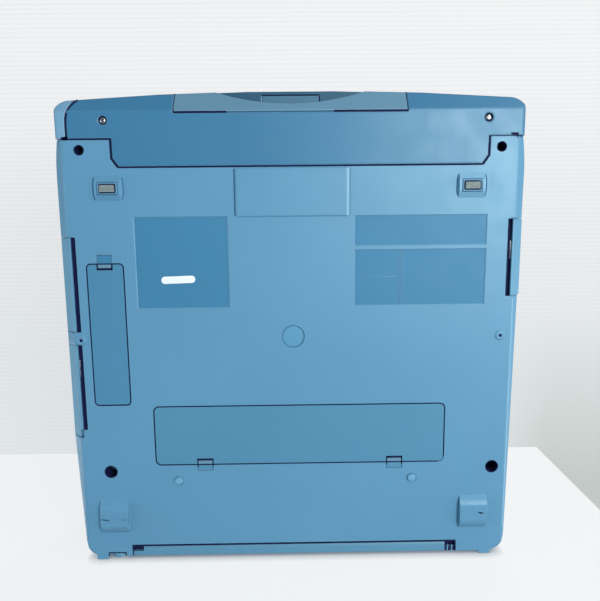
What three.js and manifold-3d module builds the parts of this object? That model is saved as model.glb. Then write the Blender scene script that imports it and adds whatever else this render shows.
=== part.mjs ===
// Electronic word processor: a portable body with a hinged display lid, a keyboard beneath it,
// a thermal printer at the rear, and the fittings of its underside.
// Millimetres. +X is the user's right, +Y the rear, +Z up. The desk is z = 0 and the origin is
// the middle of the footprint.
import * as THREE from 'three';
import { ConvexGeometry } from 'three/addons/geometries/ConvexGeometry.js';
import { mergeVertices } from 'three/addons/utils/BufferGeometryUtils.js';
import Module from 'manifold-3d';

const wasm = await Module();
wasm.setup();

// Clearances and counts shared by every piece
const fit = 0.3;
const overrun = 4;
const halfShare = 0.5;
const roundSides = 24;
const scoopSides = 96;
const smallRoundSides = 12;
const arcSteps = 5;

// Body shells
const bodyHalfWidth = 172.5;
const flareRun = 7.5;
const bodyFront = -180.5;
const bodyRear = 178;
const panelHeight = 4;
const flareRise = 8;
const frontBevelRun = 15;
const frontBevelRise = 12;
const frontBow = 6.5;
const frontCornerRadius = 10;
const frontTaper = 3.2;
const frontTaperLength = 62;
const frontTaperTurn = 47;
const frontFlareRun = 2;
const frontFlareRise = 2.2;
const rearCornerRadius = 15;
const rearTaper = 5.3;
const rearTaperLength = 98;
const wall = 2.6;
const seamHeight = 44;
const deckRise = 16;
const deckEdgeBevel = 4;
const humpDepth = 132;
const humpSlopeRise = 6;
const humpSlopeRun = 16;
const humpRise = 28;
const humpRearBevel = 8;
const humpSideBevel = 6;

// Split between the bottom case and the front cover
const splitDepth = 54;
const splitShoulderDepth = 34.2;
const splitLeftInset = 43;
const splitRightInset = 29;
const splitCornerRun = 4.5;
const splitCornerRise = 6.3;
const splitGap = 0.5;

// End cap at the front left corner
const capWidth = 11.5;
const capFrontWidth = 19;
const capTurnDepth = 24.5;

// Carry handle in the front cover, with its finger scoop and release button
const handleHalfWidth = 83.7;
const handleDepth = 15.9;
const handleHeight = 32;
const handleGap = 0.6;
const handleArmHalfSpan = 72;
const handleArmWidth = 12;
const handleArmHeight = 12;
const handleArmBottom = 12;
const handleArmReach = 58.5;
const handleGuideReach = 49.5;
const handleGuideDepth = 12;
const handleBayWall = 2.4;
const scoopHalfWidth = 52;
const scoopDepth = 8.5;
const scoopHeight = 14;
const releaseHalfWidth = 20.8;
const releaseDepth = 5.6;
const releaseFrontInset = 3.1;
const releaseSetback = 2;
const releaseTravel = 1.2;

// Feet
const padLeftInset = 39.3;
const padRightInset = 41;
const padWidth = 10.6;
const padDepth = 4.9;
const padFrontInset = 69.3;
const padThickness = 2.7;
const footBlockWidth = 18.8;
const footBlockDepth = 17.8;
const footBlockDrop = 2.6;
const footBlockArchShare = 1.35;
const footBlockDraftShare = 0.46;
const footBlockSteps = 16;
const rearFootLeftInset = 29.9;
const rearFootRightInset = 31.8;
const rearFootWidth = 21.5;
const rearFootRearInset = 34;
const rearFootLength = 27;
const rearFootFlat = 12;
const rearFootLap = 0.8;

// Relief of the underside
const plateHalfWidth = 40.3;
const plateFrontInset = 56.1;
const plateDepth = 33.9;
const plateDrop = 0.9;
const fieldSink = 0.6;
const leftFieldSetback = 9.2;
const leftFieldWidth = 68.8;
const leftFieldFrontInset = 89.9;
const leftFieldDepth = 68.1;
const rightFieldSideInset = 28.7;
const rightFieldWidth = 97.8;
const rightFieldFrontInset = 90.3;
const rightUpperDepth = 22.3;
const rightFieldGap = 2.8;
const rightLowerDepth = 42;
const mouldingDiscRadius = 8.2;
const nubHalfSpan = 91.6;
const nubRearInset = 63.3;
const nubRadius = 3.25;
const nubDrop = 1;

// Screw wells of the case
const frontWellSideInset = 20;
const frontWellFrontInset = 42;
const frontWellRadius = 3.3;
const rearWellLeftInset = 28.8;
const rearWellRightInset = 17.7;
const rearWellRearInset = 71.5;
const rearWellRadius = 4.7;
const wellWall = 2;
const wellDepth = 16;
const caseScrewHeadRadius = 2.9;
const caseScrewHeadHeight = 2;
const caseScrewShankRadius = 1.4;
const caseScrewLength = 14;

// Screws of the front cover
const coverScrewLeftInset = 38.2;
const coverScrewRightInset = 30.2;
const coverScrewFrontInset = 21.4;
const coverScrewHeadRadius = 2.6;
const coverScrewHeadHeight = 1.6;
const coverScrewRecess = 0.3;
const coverScrewShankRadius = 1.3;
const coverScrewLength = 11;
const coverScrewBossRadius = 4.4;
const coverScrewGap = 0.5;

// Battery compartment, its door and the pack
const batteryDoorLeft = -108;
const batteryDoorWidth = 224.3;
const batteryDoorRearInset = 76.7;
const batteryDoorDepth = 47;
const batteryDoorThickness = 2.2;
const batteryDoorCorner = 4;
const batteryTabLeft = -69.9;
const batteryTabRight = 77.8;
const batteryTabWidth = 11.8;
const batteryTabReach = 5;
const batteryPackMargin = 3;
const bayWall = 1.8;

// Option compartment, its door and card
const optionDoorSideInset = 20.2;
const optionDoorWidth = 26.9;
const optionDoorFrontInset = 124.2;
const optionDoorDepth = 108.9;
const optionDoorThickness = 2;
const optionDoorCorner = 3;
const optionTabSetback = 13.2;
const optionTabWidth = 10.7;
const optionTabReach = 6.5;
const optionCardThickness = 3;
const optionCardMargin = 2;
const optionCardLength = 84;

// Fold-down covers of the side ports
const sideCoverHeight = 32;
const sideCoverThickness = 2.6;
const sideCoverLipInset = 9.2;
const sideCoverLipRise = 2.4;
const sideCoverRelief = 0.6;
const sideSlotInset = 13;
const leftFrontCoverInset = 104.7;
const leftFrontCoverLength = 70.6;
const leftCoverGap = 10.4;
const leftRearCoverLength = 72.8;
const leftRearSlotShort = 6.2;
const rightCoverInset = 94.1;
const rightCoverLength = 57.1;
const lugLeftInset = 12.6;
const lugRightInset = 15.7;
const lugSetback = 6.3;
const lugRadius = 3.3;
const lugHoleRadius = 1.3;
const lugDrop = 0.8;

// Rear flap that guides the paper
const flapLeftMargin = 1;
const flapRightMargin = 3;
const flapDepth = 8.7;
const flapBottom = 4.6;
const flapBarHeight = 9.4;
const flapTopDrop = 3;
const flapThickness = 3;
const flapEndNotch = 8;
const flapEndNotchDepth = 5;
const paperSlotHeight = 7;
const standFootLeftInset = 17.9;
const standFootRightInset = 20.8;
const standFootWidth = 8.4;
const standFootReach = 2.5;
const standFootHeight = 12;

// Power inlet in the notch of the rear edge
const inletSideInset = 29.9;
const inletNotchWidth = 13.2;
const inletRadius = 5.6;
const inletHeight = 14;
const inletReach = 1.4;
const inletLength = 14;
const inletBore = 3.1;
const inletCradleHalfWidth = 4;

// Display lid
const lidSideInset = 2.5;
const lidFrontInset = 3.5;
const lidRearGap = 6.3;
const lidFrontRise = 14;
const lidTopFrontRise = 18;
const lidTopDrop = 4;
const lidFrontBevel = 5;
const lidCornerRadius = 11;
const hingeSetback = 14;
const hingeDrop = 10;
const knuckleRadius = 6;
const knuckleInset = 35;
const knuckleLength = 38;
const hingePinRadius = 2;
const hingePlateThickness = 4;
const hingePlateHalfWidth = 5.5;
const hingeFootThickness = 2;
const hingeFootWidth = 14;
const bezelThickness = 2.4;
const bezelSetback = 6.3;
const windowHalfWidth = 105;
const windowSetback = 37;
const windowRearMargin = 34.7;
const displayMargin = 9;
const displayThickness = 7;
const latchHalfWidth = 15;
const latchHeight = 7;
const latchRise = 4;
const latchProud = 1.4;
const latchTravel = 5;
const tongueHalfWidth = 6;
const tongueThickness = 2.8;
const tongueDrop = 4;
const tongueClearance = 1.2;

// Keyboard
const keyPitch = 19;
const letterColumns = 15;
const letterRows = 5;
const keyboardSideMargin = 30;
const keyGap = 2.2;
const keyTopShare = 0.8;
const keyTravel = 3;
const keySink = 0.6;
const keyCapHeight = 5.2;
const keyWebThickness = 1.5;
const keyRowInset = 25;
const functionRowDepth = 13;
const functionRowGap = 2.5;
const keyBedMargin = 3;
const plungerRadius = 2;
const plateThickness = 2.4;
const plateReach = 6;
const postRadius = 4;
const keyPostSideInset = 24.5;
const keyPostSetback = 38.5;
const keyPostRearInset = 4;

// Printer
const frameDrop = 13;
const frameThickness = 2;
const frameSideInset = 41.5;
const frameRearInset = 28;
const frameDepth = 85;
const frameSideRise = 15;
const framePostInset = 7;
const framePostSetback = 9;
const platenSetback = 51;
const platenDrop = 22;
const platenRadius = 11;
const platenInset = 19;
const platenShaftRadius = 4;
const knobRadius = 11;
const knobWidth = 10;
const motorRadius = 13;
const motorLength = 13;
const rodSetback = 26;
const rodRise = 11;
const rodRadius = 3;
const carriageWidth = 34;
const carriageDepth = 20;
const carriageRise = 3;
const carriageHomeInset = 49;
const cassetteWidth = 84;
const cassetteDepth = 31;
const cassetteHeight = 10;
const headWidth = 8;
const headHeight = 6;
const beltRadius = 5;
const beltThickness = 1.2;
const beltHeight = 4;
const beltRise = 6;
const pulleyInset = 13;

// Printer cover in the top of the case
const coverSideMargin = 3;
const coverDepth = 96;
const coverRearInset = 20;
const coverPlateThickness = 2.4;
const paperExitMargin = 4;
const paperExitSetback = 6;
const paperExitDepth = 9;

// Boards
const boardHeight = 12;
const boardThickness = 1.6;
const mainBoardSideInset = 22.5;
const mainBoardFrontInset = 96.5;
const mainBoardRearGap = 10.3;
const mainBoardDriveGap = 4;
const powerBoardSideInset = 16.5;
const powerBoardWidth = 90;
const powerBoardFrontInset = 82.5;
const powerBoardDepth = 60;
const boardPostInset = 6;
const boardPostSideInset = 34;
const portInnerInset = 26.5;
const portOuterInset = 6;
const portBottom = 16;
const portHeight = 13;
const portInset = 8;
const portStemInset = 14.5;
const rearPortLength = 38.8;
const chipSize = 24;
const chipThickness = 3;
const chipGap = 14;
const coilSize = 26;
const coilHeight = 18;
const coilInset = 10;

// Disk drive
const driveLength = 128.5;
const driveFrontInset = 154.5;
const driveWidth = 95;
const driveHeight = 17;
const driveSlotHeight = 5;
const driveSlotDrop = 3.4;
const driveSlotMargin = 2.1;
const driveSeamGap = 1;
const driveSlotDepth = 92;
const driveFaceRise = 1.2;
const ejectWidth = 9;
const ejectHeight = 3.4;
const ejectInset = 12;
const ejectReach = 0.6;
const ejectLength = 10;
const ejectTravel = 3;
const ejectRise = 2.2;
const drivePostInset = 12;

// Power switch and contrast dial
const switchFrontInset = 52.5;
const switchSlotLength = 15;
const switchHeight = 5;
const switchLength = 8;
const switchRise = 6;
const switchDepth = 7;
const switchProudness = 0.2;
const switchRailThickness = 1.6;
const dialFrontInset = 60.5;
const dialRadius = 10.4;
const dialInset = 0.3;
const dialThickness = 4;
const dialRise = 6;
const dialSpindleRadius = 2;
const dialSpindleLength = 4;
const dialShelfThickness = 2;

// Levels and edges worked out from the values above
const panelHalfWidth = bodyHalfWidth - flareRun;
const panelTop = panelHeight + wall;
const deckHeight = seamHeight + deckRise;
const humpHeight = deckHeight + humpRise;
const humpEdgeHeight = humpHeight - humpSlopeRise;
const humpFront = bodyRear - humpDepth;
const bevelStart = bodyFront + frontBevelRun;
const sideInner = bodyHalfWidth - wall;
const frontHalfWidth = bodyHalfWidth - frontTaper;
const frontTaperStart = bodyFront + frontTaperLength;
const frontTaperMiddle = bodyFront + frontTaperTurn;
const rearTaperStart = bodyRear - rearTaperLength;

// Places of the front cover, end cap and handle
const splitRear = bodyFront + splitDepth;
const splitFront = bodyFront + splitShoulderDepth;
const splitLeft = splitLeftInset - bodyHalfWidth;
const splitRight = bodyHalfWidth - splitRightInset;
const capInner = capWidth - bodyHalfWidth;
const capFrontInner = capFrontWidth - bodyHalfWidth;
const capTurn = bodyFront + capTurnDepth;
const handleRear = bodyFront + handleDepth;
const handleArmRear = bodyFront + handleArmReach;
const handleGuideRear = bodyFront + handleGuideReach;
const handleBowShare = (handleHalfWidth / (frontHalfWidth - frontCornerRadius)) ** 2;
const handleFrontInner = bodyFront + frontBow * handleBowShare;
const scoopRadius = (scoopHalfWidth ** 2 + scoopDepth ** 2) * halfShare / scoopDepth;
const releaseFront = bodyFront + releaseFrontInset;
const coverScrewLeft = coverScrewLeftInset - bodyHalfWidth;
const coverScrewRight = bodyHalfWidth - coverScrewRightInset;
const coverScrewPlace = bodyFront + coverScrewFrontInset;

// Places on the underside
const padLeft = padLeftInset - bodyHalfWidth;
const padRight = bodyHalfWidth - padRightInset;
const padPlace = bodyFront + padFrontInset;
const rearFootLeft = rearFootLeftInset - bodyHalfWidth;
const rearFootRight = bodyHalfWidth - rearFootRightInset;
const rearFootPlace = bodyRear - rearFootRearInset;
const plateFront = bodyFront + plateFrontInset;
const frontWellHalfSpan = bodyHalfWidth - frontWellSideInset;
const frontWellPlace = bodyFront + frontWellFrontInset;
const rearWellLeft = rearWellLeftInset - bodyHalfWidth;
const rearWellRight = bodyHalfWidth - rearWellRightInset;
const rearWellPlace = bodyRear - rearWellRearInset;
const nubPlace = bodyRear - nubRearInset;
const batteryDoorRight = batteryDoorLeft + batteryDoorWidth;
const batteryDoorRear = bodyRear - batteryDoorRearInset;
const batteryDoorFront = batteryDoorRear - batteryDoorDepth;
const optionDoorLeft = optionDoorSideInset - bodyHalfWidth;
const optionDoorRight = optionDoorLeft + optionDoorWidth;
const optionDoorFront = bodyFront + optionDoorFrontInset;
const optionDoorRear = optionDoorFront + optionDoorDepth;
const optionTabPlace = optionDoorLeft + optionTabSetback;
const leftFieldLeft = optionDoorRight + leftFieldSetback;
const leftFieldFront = bodyFront + leftFieldFrontInset;
const rightFieldLeft = bodyHalfWidth - rightFieldSideInset - rightFieldWidth;
const rightFieldFront = bodyFront + rightFieldFrontInset;

// Places of the side covers, the rear flap and the fittings of the rear edge
const sideCoverLip = bodyHalfWidth - sideCoverLipInset;
const sideSlotInner = bodyHalfWidth - sideSlotInset;
const leftFrontCoverFront = bodyFront + leftFrontCoverInset;
const leftFrontCoverRear = leftFrontCoverFront + leftFrontCoverLength;
const leftRearCoverFront = leftFrontCoverRear + leftCoverGap;
const rightCoverFront = bodyFront + rightCoverInset;
const lugLeft = lugLeftInset - bodyHalfWidth;
const lugRight = bodyHalfWidth - lugRightInset;
const lugPlace = leftFrontCoverRear + lugSetback;
const frameHalfWidth = bodyHalfWidth - frameSideInset;
const flapLeft = flapLeftMargin - frameHalfWidth;
const flapRight = frameHalfWidth - flapRightMargin;
const flapFront = bodyRear - flapDepth;
const flapTop = deckHeight - flapTopDrop;
const standFootLeft = standFootLeftInset - bodyHalfWidth;
const standFootRight = bodyHalfWidth - standFootRightInset;
const inletPlace = inletSideInset - bodyHalfWidth;

// Places of the lid, its hinges and the display
const lidHalfWidth = bodyHalfWidth - lidSideInset;
const lidFront = bodyFront + lidFrontInset;
const hingeY = humpFront - hingeSetback;
const hingeZ = humpHeight - hingeDrop;
const lidRear = hingeY - lidRearGap;
const lidFrontHeight = deckHeight + lidFrontRise;
const lidTopFrontHeight = deckHeight + lidTopFrontRise;
const lidTopRearHeight = humpHeight - lidTopDrop;
const knuckleOuter = lidHalfWidth - knuckleInset;
const knuckleInner = knuckleOuter - knuckleLength;
const bezelFront = lidFront + bezelSetback;
const windowFront = lidFront + windowSetback;
const windowRear = lidRear - windowRearMargin;

// Places of the keyboard
const keyRowHalfWidth = bodyHalfWidth - keyboardSideMargin;
const keyColumnPitch = keyRowHalfWidth * 2 / letterColumns;
const keyTop = deckHeight - keySink;
const keyPlateTop = keyTop - keyCapHeight - keyWebThickness - keyTravel - fit;
const keyPlateBottom = keyPlateTop - plateThickness;
const keyWebBottom = keyTop - keyCapHeight - keyWebThickness;
const keyRowFront = bodyFront + keyRowInset;
const keyRowRear = keyRowFront + letterRows * keyPitch;
const functionRowFront = keyRowRear + functionRowGap;
const functionRowRear = functionRowFront + functionRowDepth;
const keyPlateFront = keyRowFront - keyBedMargin - plateReach;
const keyPlateRear = functionRowRear + keyBedMargin + plateReach;
const keyPostHalfSpan = keyRowHalfWidth - keyPostSideInset;
const keyPostFront = keyRowFront + keyPostSetback;
const keyPostRear = functionRowRear - keyPostRearInset;

// Places of the printer and its cover
const frameBase = deckHeight - frameDrop;
const frameTop = frameBase + frameThickness;
const frameRear = bodyRear - frameRearInset;
const frameFront = frameRear - frameDepth;
const frameOuter = frameHalfWidth + frameThickness;
const platenY = frameFront + platenSetback;
const platenZ = humpHeight - platenDrop;
const platenHalfLength = frameHalfWidth - platenInset;
const frameSideTop = platenZ + frameSideRise;
const framePostHalfSpan = frameHalfWidth - framePostInset;
const framePostPlace = platenY + framePostSetback;
const rodY = platenY - rodSetback;
const rodZ = frameBase + rodRise;
const carriageBottom = frameBase + carriageRise;
const carriageTop = platenZ + headHeight * halfShare;
const carriageHome = carriageHomeInset - frameHalfWidth;
const beltBottom = frameBase + beltRise;
const pulleyHalfSpan = frameHalfWidth - pulleyInset;
const coverHalfWidth = frameHalfWidth - coverSideMargin;
const coverRear = bodyRear - coverRearInset;
const coverFront = coverRear - coverDepth;
const paperExitHalfWidth = platenHalfLength - paperExitMargin;
const paperExitFront = platenY + paperExitSetback;

// Places of the drive, the battery pack and the boards
const driveTop = seamHeight - driveSeamGap;
const driveBottom = driveTop - driveHeight;
const driveInner = bodyHalfWidth - driveLength;
const driveFront = bodyFront + driveFrontInset;
const driveRear = driveFront + driveWidth;
const batteryBayTop = driveBottom - fit - bayWall;
const mainBoardLeft = mainBoardSideInset - bodyHalfWidth;
const mainBoardRight = driveInner - mainBoardDriveGap;
const mainBoardFront = bodyFront + mainBoardFrontInset;
const mainBoardRear = batteryDoorFront - mainBoardRearGap;
const powerBoardRight = bodyHalfWidth - powerBoardSideInset;
const powerBoardLeft = powerBoardRight - powerBoardWidth;
const powerBoardFront = bodyFront + powerBoardFrontInset;
const powerBoardRear = powerBoardFront + powerBoardDepth;
const portInner = bodyHalfWidth - portInnerInset;
const portOuter = bodyHalfWidth - portOuterInset;
const portStem = bodyHalfWidth - portStemInset;
const switchFront = bodyFront + switchFrontInset;
const switchBottom = seamHeight + switchRise;
const dialPlace = bodyFront + dialFrontInset;
const dialBottom = seamHeight + dialRise;

// Materials
function plastic(color, roughness = 0.62) {
  return new THREE.MeshStandardMaterial({ color, roughness, metalness: 0 });
}
function metal(color, roughness = 0.35) {
  return new THREE.MeshStandardMaterial({ color, roughness, metalness: 1 });
}
const bluePlastic = () => plastic(0x5f9bc0);
const darkBluePlastic = () => plastic(0x4a84ad);
const paleGreyPlastic = () => plastic(0xc9ccca);
const midGreyPlastic = () => plastic(0x8e9a9c, 0.8);
const charcoalPlastic = () => plastic(0x2b2f33, 0.5);
const greenBoard = () => plastic(0x2e6b43, 0.5);
const glassPanel = () => plastic(0x8d9a86, 0.12);
const blackRubber = () => plastic(0x1d1d1f, 0.9);
const steel = () => metal(0xb9bcc0);
const darkSteel = () => metal(0x7d8084, 0.45);

// Solids and cuts
function solidOf(geometry) {
  const bare = geometry.index ? geometry.toNonIndexed() : geometry.clone();
  bare.deleteAttribute('normal');
  bare.deleteAttribute('uv');
  const merged = mergeVertices(bare);
  const vertProperties = new Float32Array(merged.attributes.position.array);
  const triVerts = new Uint32Array(merged.index.array);
  return new wasm.Manifold(new wasm.Mesh({ numProp: 3, vertProperties, triVerts }));
}

function geometryOf(solid) {
  const mesh = solid.getMesh();
  const geometry = new THREE.BufferGeometry();
  geometry.setAttribute('position', new THREE.BufferAttribute(mesh.vertProperties, 3));
  geometry.setIndex(new THREE.BufferAttribute(mesh.triVerts, 1));
  const flat = geometry.toNonIndexed();
  flat.computeVertexNormals();
  return flat;
}

function joined(solids) {
  return solids.reduce((whole, solid) => whole.add(solid));
}

function cut(solid, tools) {
  return tools.reduce((rest, tool) => rest.subtract(tool), solid);
}

// Basic solids in the frame of the part
function block(left, right, front, rear, bottom, top) {
  const geometry = new THREE.BoxGeometry(right - left, rear - front, top - bottom);
  geometry.translate((left + right) * halfShare, (front + rear) * halfShare, (bottom + top) * halfShare);
  return solidOf(geometry);
}

function upright(shape, bottom, top) {
  const options = { depth: top - bottom, bevelEnabled: false, curveSegments: arcSteps };
  const geometry = new THREE.ExtrudeGeometry(shape, options);
  geometry.translate(0, 0, bottom);
  return solidOf(geometry);
}

function outline(points) {
  return new THREE.Shape(points.map(([across, along]) => new THREE.Vector2(across, along)));
}

// Extrudes a profile of (y, z) points from left to right
function profileAlongX(points, left, right) {
  const geometry = new THREE.ExtrudeGeometry(outline(points), { depth: right - left, bevelEnabled: false });
  const turn = new THREE.Matrix4();
  turn.makeBasis(new THREE.Vector3(0, 1, 0), new THREE.Vector3(0, 0, 1), new THREE.Vector3(1, 0, 0));
  geometry.applyMatrix4(turn);
  geometry.translate(left, 0, 0);
  return solidOf(geometry);
}

// Extrudes a profile of (x, z) points from front to rear
function profileAlongY(points, front, rear) {
  const geometry = new THREE.ExtrudeGeometry(outline(points), { depth: rear - front, bevelEnabled: false });
  geometry.rotateX(Math.PI / 2);
  geometry.translate(0, rear, 0);
  return solidOf(geometry);
}

function pillar(x, y, radius, bottom, top, sides = smallRoundSides) {
  const geometry = new THREE.CylinderGeometry(radius, radius, top - bottom, sides);
  geometry.rotateX(Math.PI / 2);
  geometry.translate(x, y, (bottom + top) * halfShare);
  return solidOf(geometry);
}

function rodAlongX(y, z, radius, left, right, sides = roundSides) {
  const geometry = new THREE.CylinderGeometry(radius, radius, right - left, sides);
  geometry.rotateZ(Math.PI / 2);
  geometry.translate((left + right) * halfShare, y, z);
  return solidOf(geometry);
}

function rodAlongY(x, z, radius, front, rear, sides = roundSides) {
  const geometry = new THREE.CylinderGeometry(radius, radius, rear - front, sides);
  geometry.translate(x, (front + rear) * halfShare, z);
  return solidOf(geometry);
}

function roundedRectangle(left, right, front, rear, radius) {
  const shape = new THREE.Shape();
  shape.absarc(right - radius, rear - radius, radius, 0, Math.PI / 2);
  shape.absarc(left + radius, rear - radius, radius, Math.PI / 2, Math.PI);
  shape.absarc(left + radius, front + radius, radius, Math.PI, Math.PI * 1.5);
  shape.absarc(right - radius, front + radius, radius, Math.PI * 1.5, Math.PI * 2);
  return shape;
}

// Share of a wall by which the corner of a hollow steps in beside a slope
function mitreShare(run, rise) {
  return (Math.hypot(run, rise) - run) / rise;
}

// Adds the front of a plan from left to right: sides that draw in, a bowed edge, rounded corners
function addBowedFront(shape, halfWidth, front, radius) {
  const reach = halfWidth - frontTaper;
  const cornerY = front + frontBow + radius;
  shape.lineTo(-halfWidth, frontTaperStart);
  shape.quadraticCurveTo(-halfWidth, frontTaperMiddle, -reach, splitFront);
  shape.absarc(radius - reach, cornerY, radius, Math.PI, Math.PI * 1.5);
  shape.quadraticCurveTo(0, front - frontBow, reach - radius, cornerY - radius);
  shape.absarc(reach - radius, cornerY, radius, Math.PI * 1.5, Math.PI * 2);
  shape.lineTo(reach, splitFront);
  shape.quadraticCurveTo(halfWidth, frontTaperMiddle, halfWidth, frontTaperStart);
}

// Plan of the body: bowed front, sides that draw in towards both ends, rounded corners
function bodyPlan(inset) {
  const halfWidth = bodyHalfWidth - inset;
  const rearHalfWidth = halfWidth - rearTaper;
  const rear = bodyRear - inset;
  const radius = rearCornerRadius - inset;
  const shape = new THREE.Shape();
  shape.moveTo(halfWidth, rearTaperStart);
  shape.absarc(rearHalfWidth - radius, rear - radius, radius, 0, Math.PI / 2);
  shape.absarc(radius - rearHalfWidth, rear - radius, radius, Math.PI / 2, Math.PI);
  shape.lineTo(-halfWidth, rearTaperStart);
  addBowedFront(shape, halfWidth, bodyFront + inset, frontCornerRadius - inset);
  return shape;
}

const sideFlare = { reach: bodyHalfWidth, run: flareRun, rise: flareRise };
const frontFlare = { reach: frontHalfWidth, run: frontFlareRun, rise: frontFlareRise };

// Solid form of the lower body with a flare along its sides, drawn in by an inset for its hollow
function lowerForm(inset, top, flare = sideFlare) {
  const bottom = panelHeight + inset;
  const sideStart = flare.reach - flare.run - inset * mitreShare(flare.run, flare.rise);
  const sideWidth = flare.reach - inset;
  const sideRise = panelHeight + flare.rise + inset * mitreShare(flare.rise, flare.run);
  const sides = [
    [-sideStart, bottom], [sideStart, bottom], [sideWidth, sideRise],
    [sideWidth, top], [-sideWidth, top], [-sideWidth, sideRise],
  ];
  const frontStart = bevelStart + inset * mitreShare(frontBevelRun, frontBevelRise);
  const frontWidth = bodyFront + inset;
  const frontRise = panelHeight + frontBevelRise + inset * mitreShare(frontBevelRise, frontBevelRun);
  const ends = [
    [frontStart, bottom], [bodyRear, bottom], [bodyRear, top], [frontWidth, top], [frontWidth, frontRise],
  ];
  const plan = upright(bodyPlan(inset), bottom, top);
  return plan
    .intersect(profileAlongY(sides, bodyFront, bodyRear))
    .intersect(profileAlongX(ends, -bodyHalfWidth, bodyHalfWidth));
}

function lowerTub(flare) {
  return lowerForm(0, seamHeight, flare).subtract(lowerForm(wall, seamHeight + overrun, flare));
}

// Region of the front cover; a spread widens it towards the bottom case
function frontRegion(spread) {
  const outer = bodyHalfWidth + overrun;
  const ahead = bodyFront - overrun;
  const left = splitLeft - spread;
  const right = splitRight + spread;
  const points = [
    [-outer, ahead], [outer, ahead], [outer, splitFront + spread], [right, splitFront + spread],
    [right, splitRear - splitCornerRise + spread], [right - splitCornerRun, splitRear + spread],
    [left + splitCornerRun, splitRear + spread], [left, splitRear - splitCornerRise + spread],
    [left, splitFront + spread], [-outer, splitFront + spread],
  ];
  return upright(outline(points), -overrun, seamHeight + overrun);
}

// Region of the end cap; a spread widens it
function capRegion(spread) {
  const outer = -bodyHalfWidth - overrun;
  const shape = new THREE.Shape();
  shape.moveTo(outer, splitFront + spread);
  shape.lineTo(outer, bodyFront - overrun);
  shape.lineTo(capFrontInner + spread, bodyFront - overrun);
  shape.lineTo(capFrontInner + spread, bodyFront);
  shape.quadraticCurveTo(capInner + spread, bodyFront + frontCornerRadius, capInner + spread, capTurn);
  shape.lineTo(capInner + spread, splitFront + spread);
  return upright(shape, -overrun, seamHeight + overrun);
}

// Arched block that carries a front pad; its flanks reach out at the base where it is tallest
function footBlock(x) {
  const reach = footBlockWidth * halfShare;
  const points = [];
  for (let step = 0; step <= footBlockSteps; step += 1) {
    const share = step / footBlockSteps;
    const along = padPlace + footBlockDepth * (share - halfShare);
    const drop = footBlockDrop * Math.min(1, Math.sin(Math.PI * share) * footBlockArchShare);
    const foot = reach + drop * footBlockDraftShare;
    for (const side of [-1, 1]) {
      points.push(new THREE.Vector3(x + side * reach, along, panelHeight - drop));
      points.push(new THREE.Vector3(x + side * foot, along, panelHeight));
      points.push(new THREE.Vector3(x + side * foot, along, panelTop));
    }
  }
  return solidOf(new ConvexGeometry(points));
}

function padBlock(x, spread, bottom, top) {
  const reachX = padWidth * halfShare + spread;
  const reachY = padDepth * halfShare + spread;
  return block(x - reachX, x + reachX, padPlace - reachY, padPlace + reachY, bottom, top);
}

function rearFoot(x) {
  const reach = rearFootLength * halfShare;
  const flat = rearFootFlat * halfShare;
  const shape = new THREE.Shape();
  shape.moveTo(rearFootPlace - reach, panelHeight + rearFootLap);
  shape.lineTo(rearFootPlace - reach, panelHeight);
  shape.quadraticCurveTo(rearFootPlace - flat - flat * halfShare, 0, rearFootPlace - flat, 0);
  shape.lineTo(rearFootPlace + flat, 0);
  shape.quadraticCurveTo(rearFootPlace + flat + flat * halfShare, 0, rearFootPlace + reach, panelHeight);
  shape.lineTo(rearFootPlace + reach, panelHeight + rearFootLap);
  const points = shape.getPoints(arcSteps).map((point) => [point.x, point.y]);
  return profileAlongX(points, x - rearFootWidth * halfShare, x + rearFootWidth * halfShare);
}

// Boss around a screw well, from the floor of the case to its seam
function wellBoss(x, y, radius) {
  return pillar(x, y, radius + wellWall, panelHeight, seamHeight, roundSides);
}

function wellBore(x, y, radius) {
  const shoulder = panelHeight + wellDepth;
  return joined([
    pillar(x, y, radius, -overrun, shoulder, roundSides),
    pillar(x, y, caseScrewShankRadius + fit, shoulder - fit, seamHeight + overrun),
  ]);
}

const caseWells = [
  ['front_left', -frontWellHalfSpan, frontWellPlace, frontWellRadius],
  ['front_right', frontWellHalfSpan, frontWellPlace, frontWellRadius],
  ['rear_left', rearWellLeft, rearWellPlace, rearWellRadius],
  ['rear_right', rearWellRight, rearWellPlace, rearWellRadius],
];

function batteryDoorShape(spread) {
  const left = batteryDoorLeft - spread;
  const right = batteryDoorRight + spread;
  const front = batteryDoorFront - spread;
  return roundedRectangle(left, right, front, batteryDoorRear + spread, batteryDoorCorner);
}

function batteryDoorForm(spread, bottom, top) {
  const reach = batteryTabWidth * halfShare + spread;
  const tabs = [batteryTabLeft, batteryTabRight].map((x) => {
    const rear = batteryDoorRear + batteryTabReach + spread;
    return block(x - reach, x + reach, batteryDoorRear - overrun, rear, bottom, top);
  });
  return joined([upright(batteryDoorShape(spread), bottom, top), ...tabs]);
}

function optionDoorForm(spread, bottom, top) {
  const left = optionDoorLeft - spread;
  const right = optionDoorRight + spread;
  const front = optionDoorFront - spread;
  const shape = roundedRectangle(left, right, front, optionDoorRear + spread, optionDoorCorner);
  const reach = optionTabWidth * halfShare + spread;
  const tabFront = optionDoorFront - optionTabReach - spread;
  const tab = block(optionTabPlace - reach, optionTabPlace + reach, tabFront, front + overrun, bottom, top);
  return upright(shape, bottom, top).add(tab);
}

// Open box over a door, for what the compartment holds
function bayBox(left, right, front, rear, top) {
  const outer = block(left - bayWall, right + bayWall, front - bayWall, rear + bayWall,
    panelHeight, top + bayWall);
  return outer.subtract(block(left, right, front, rear, -overrun, top));
}

const optionBayTop = panelHeight + optionDoorThickness + optionCardThickness + fit + fit;

function optionBay() {
  return bayBox(optionDoorLeft - fit, optionDoorRight + fit, optionDoorFront - fit, optionDoorRear + fit,
    optionBayTop);
}

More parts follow.
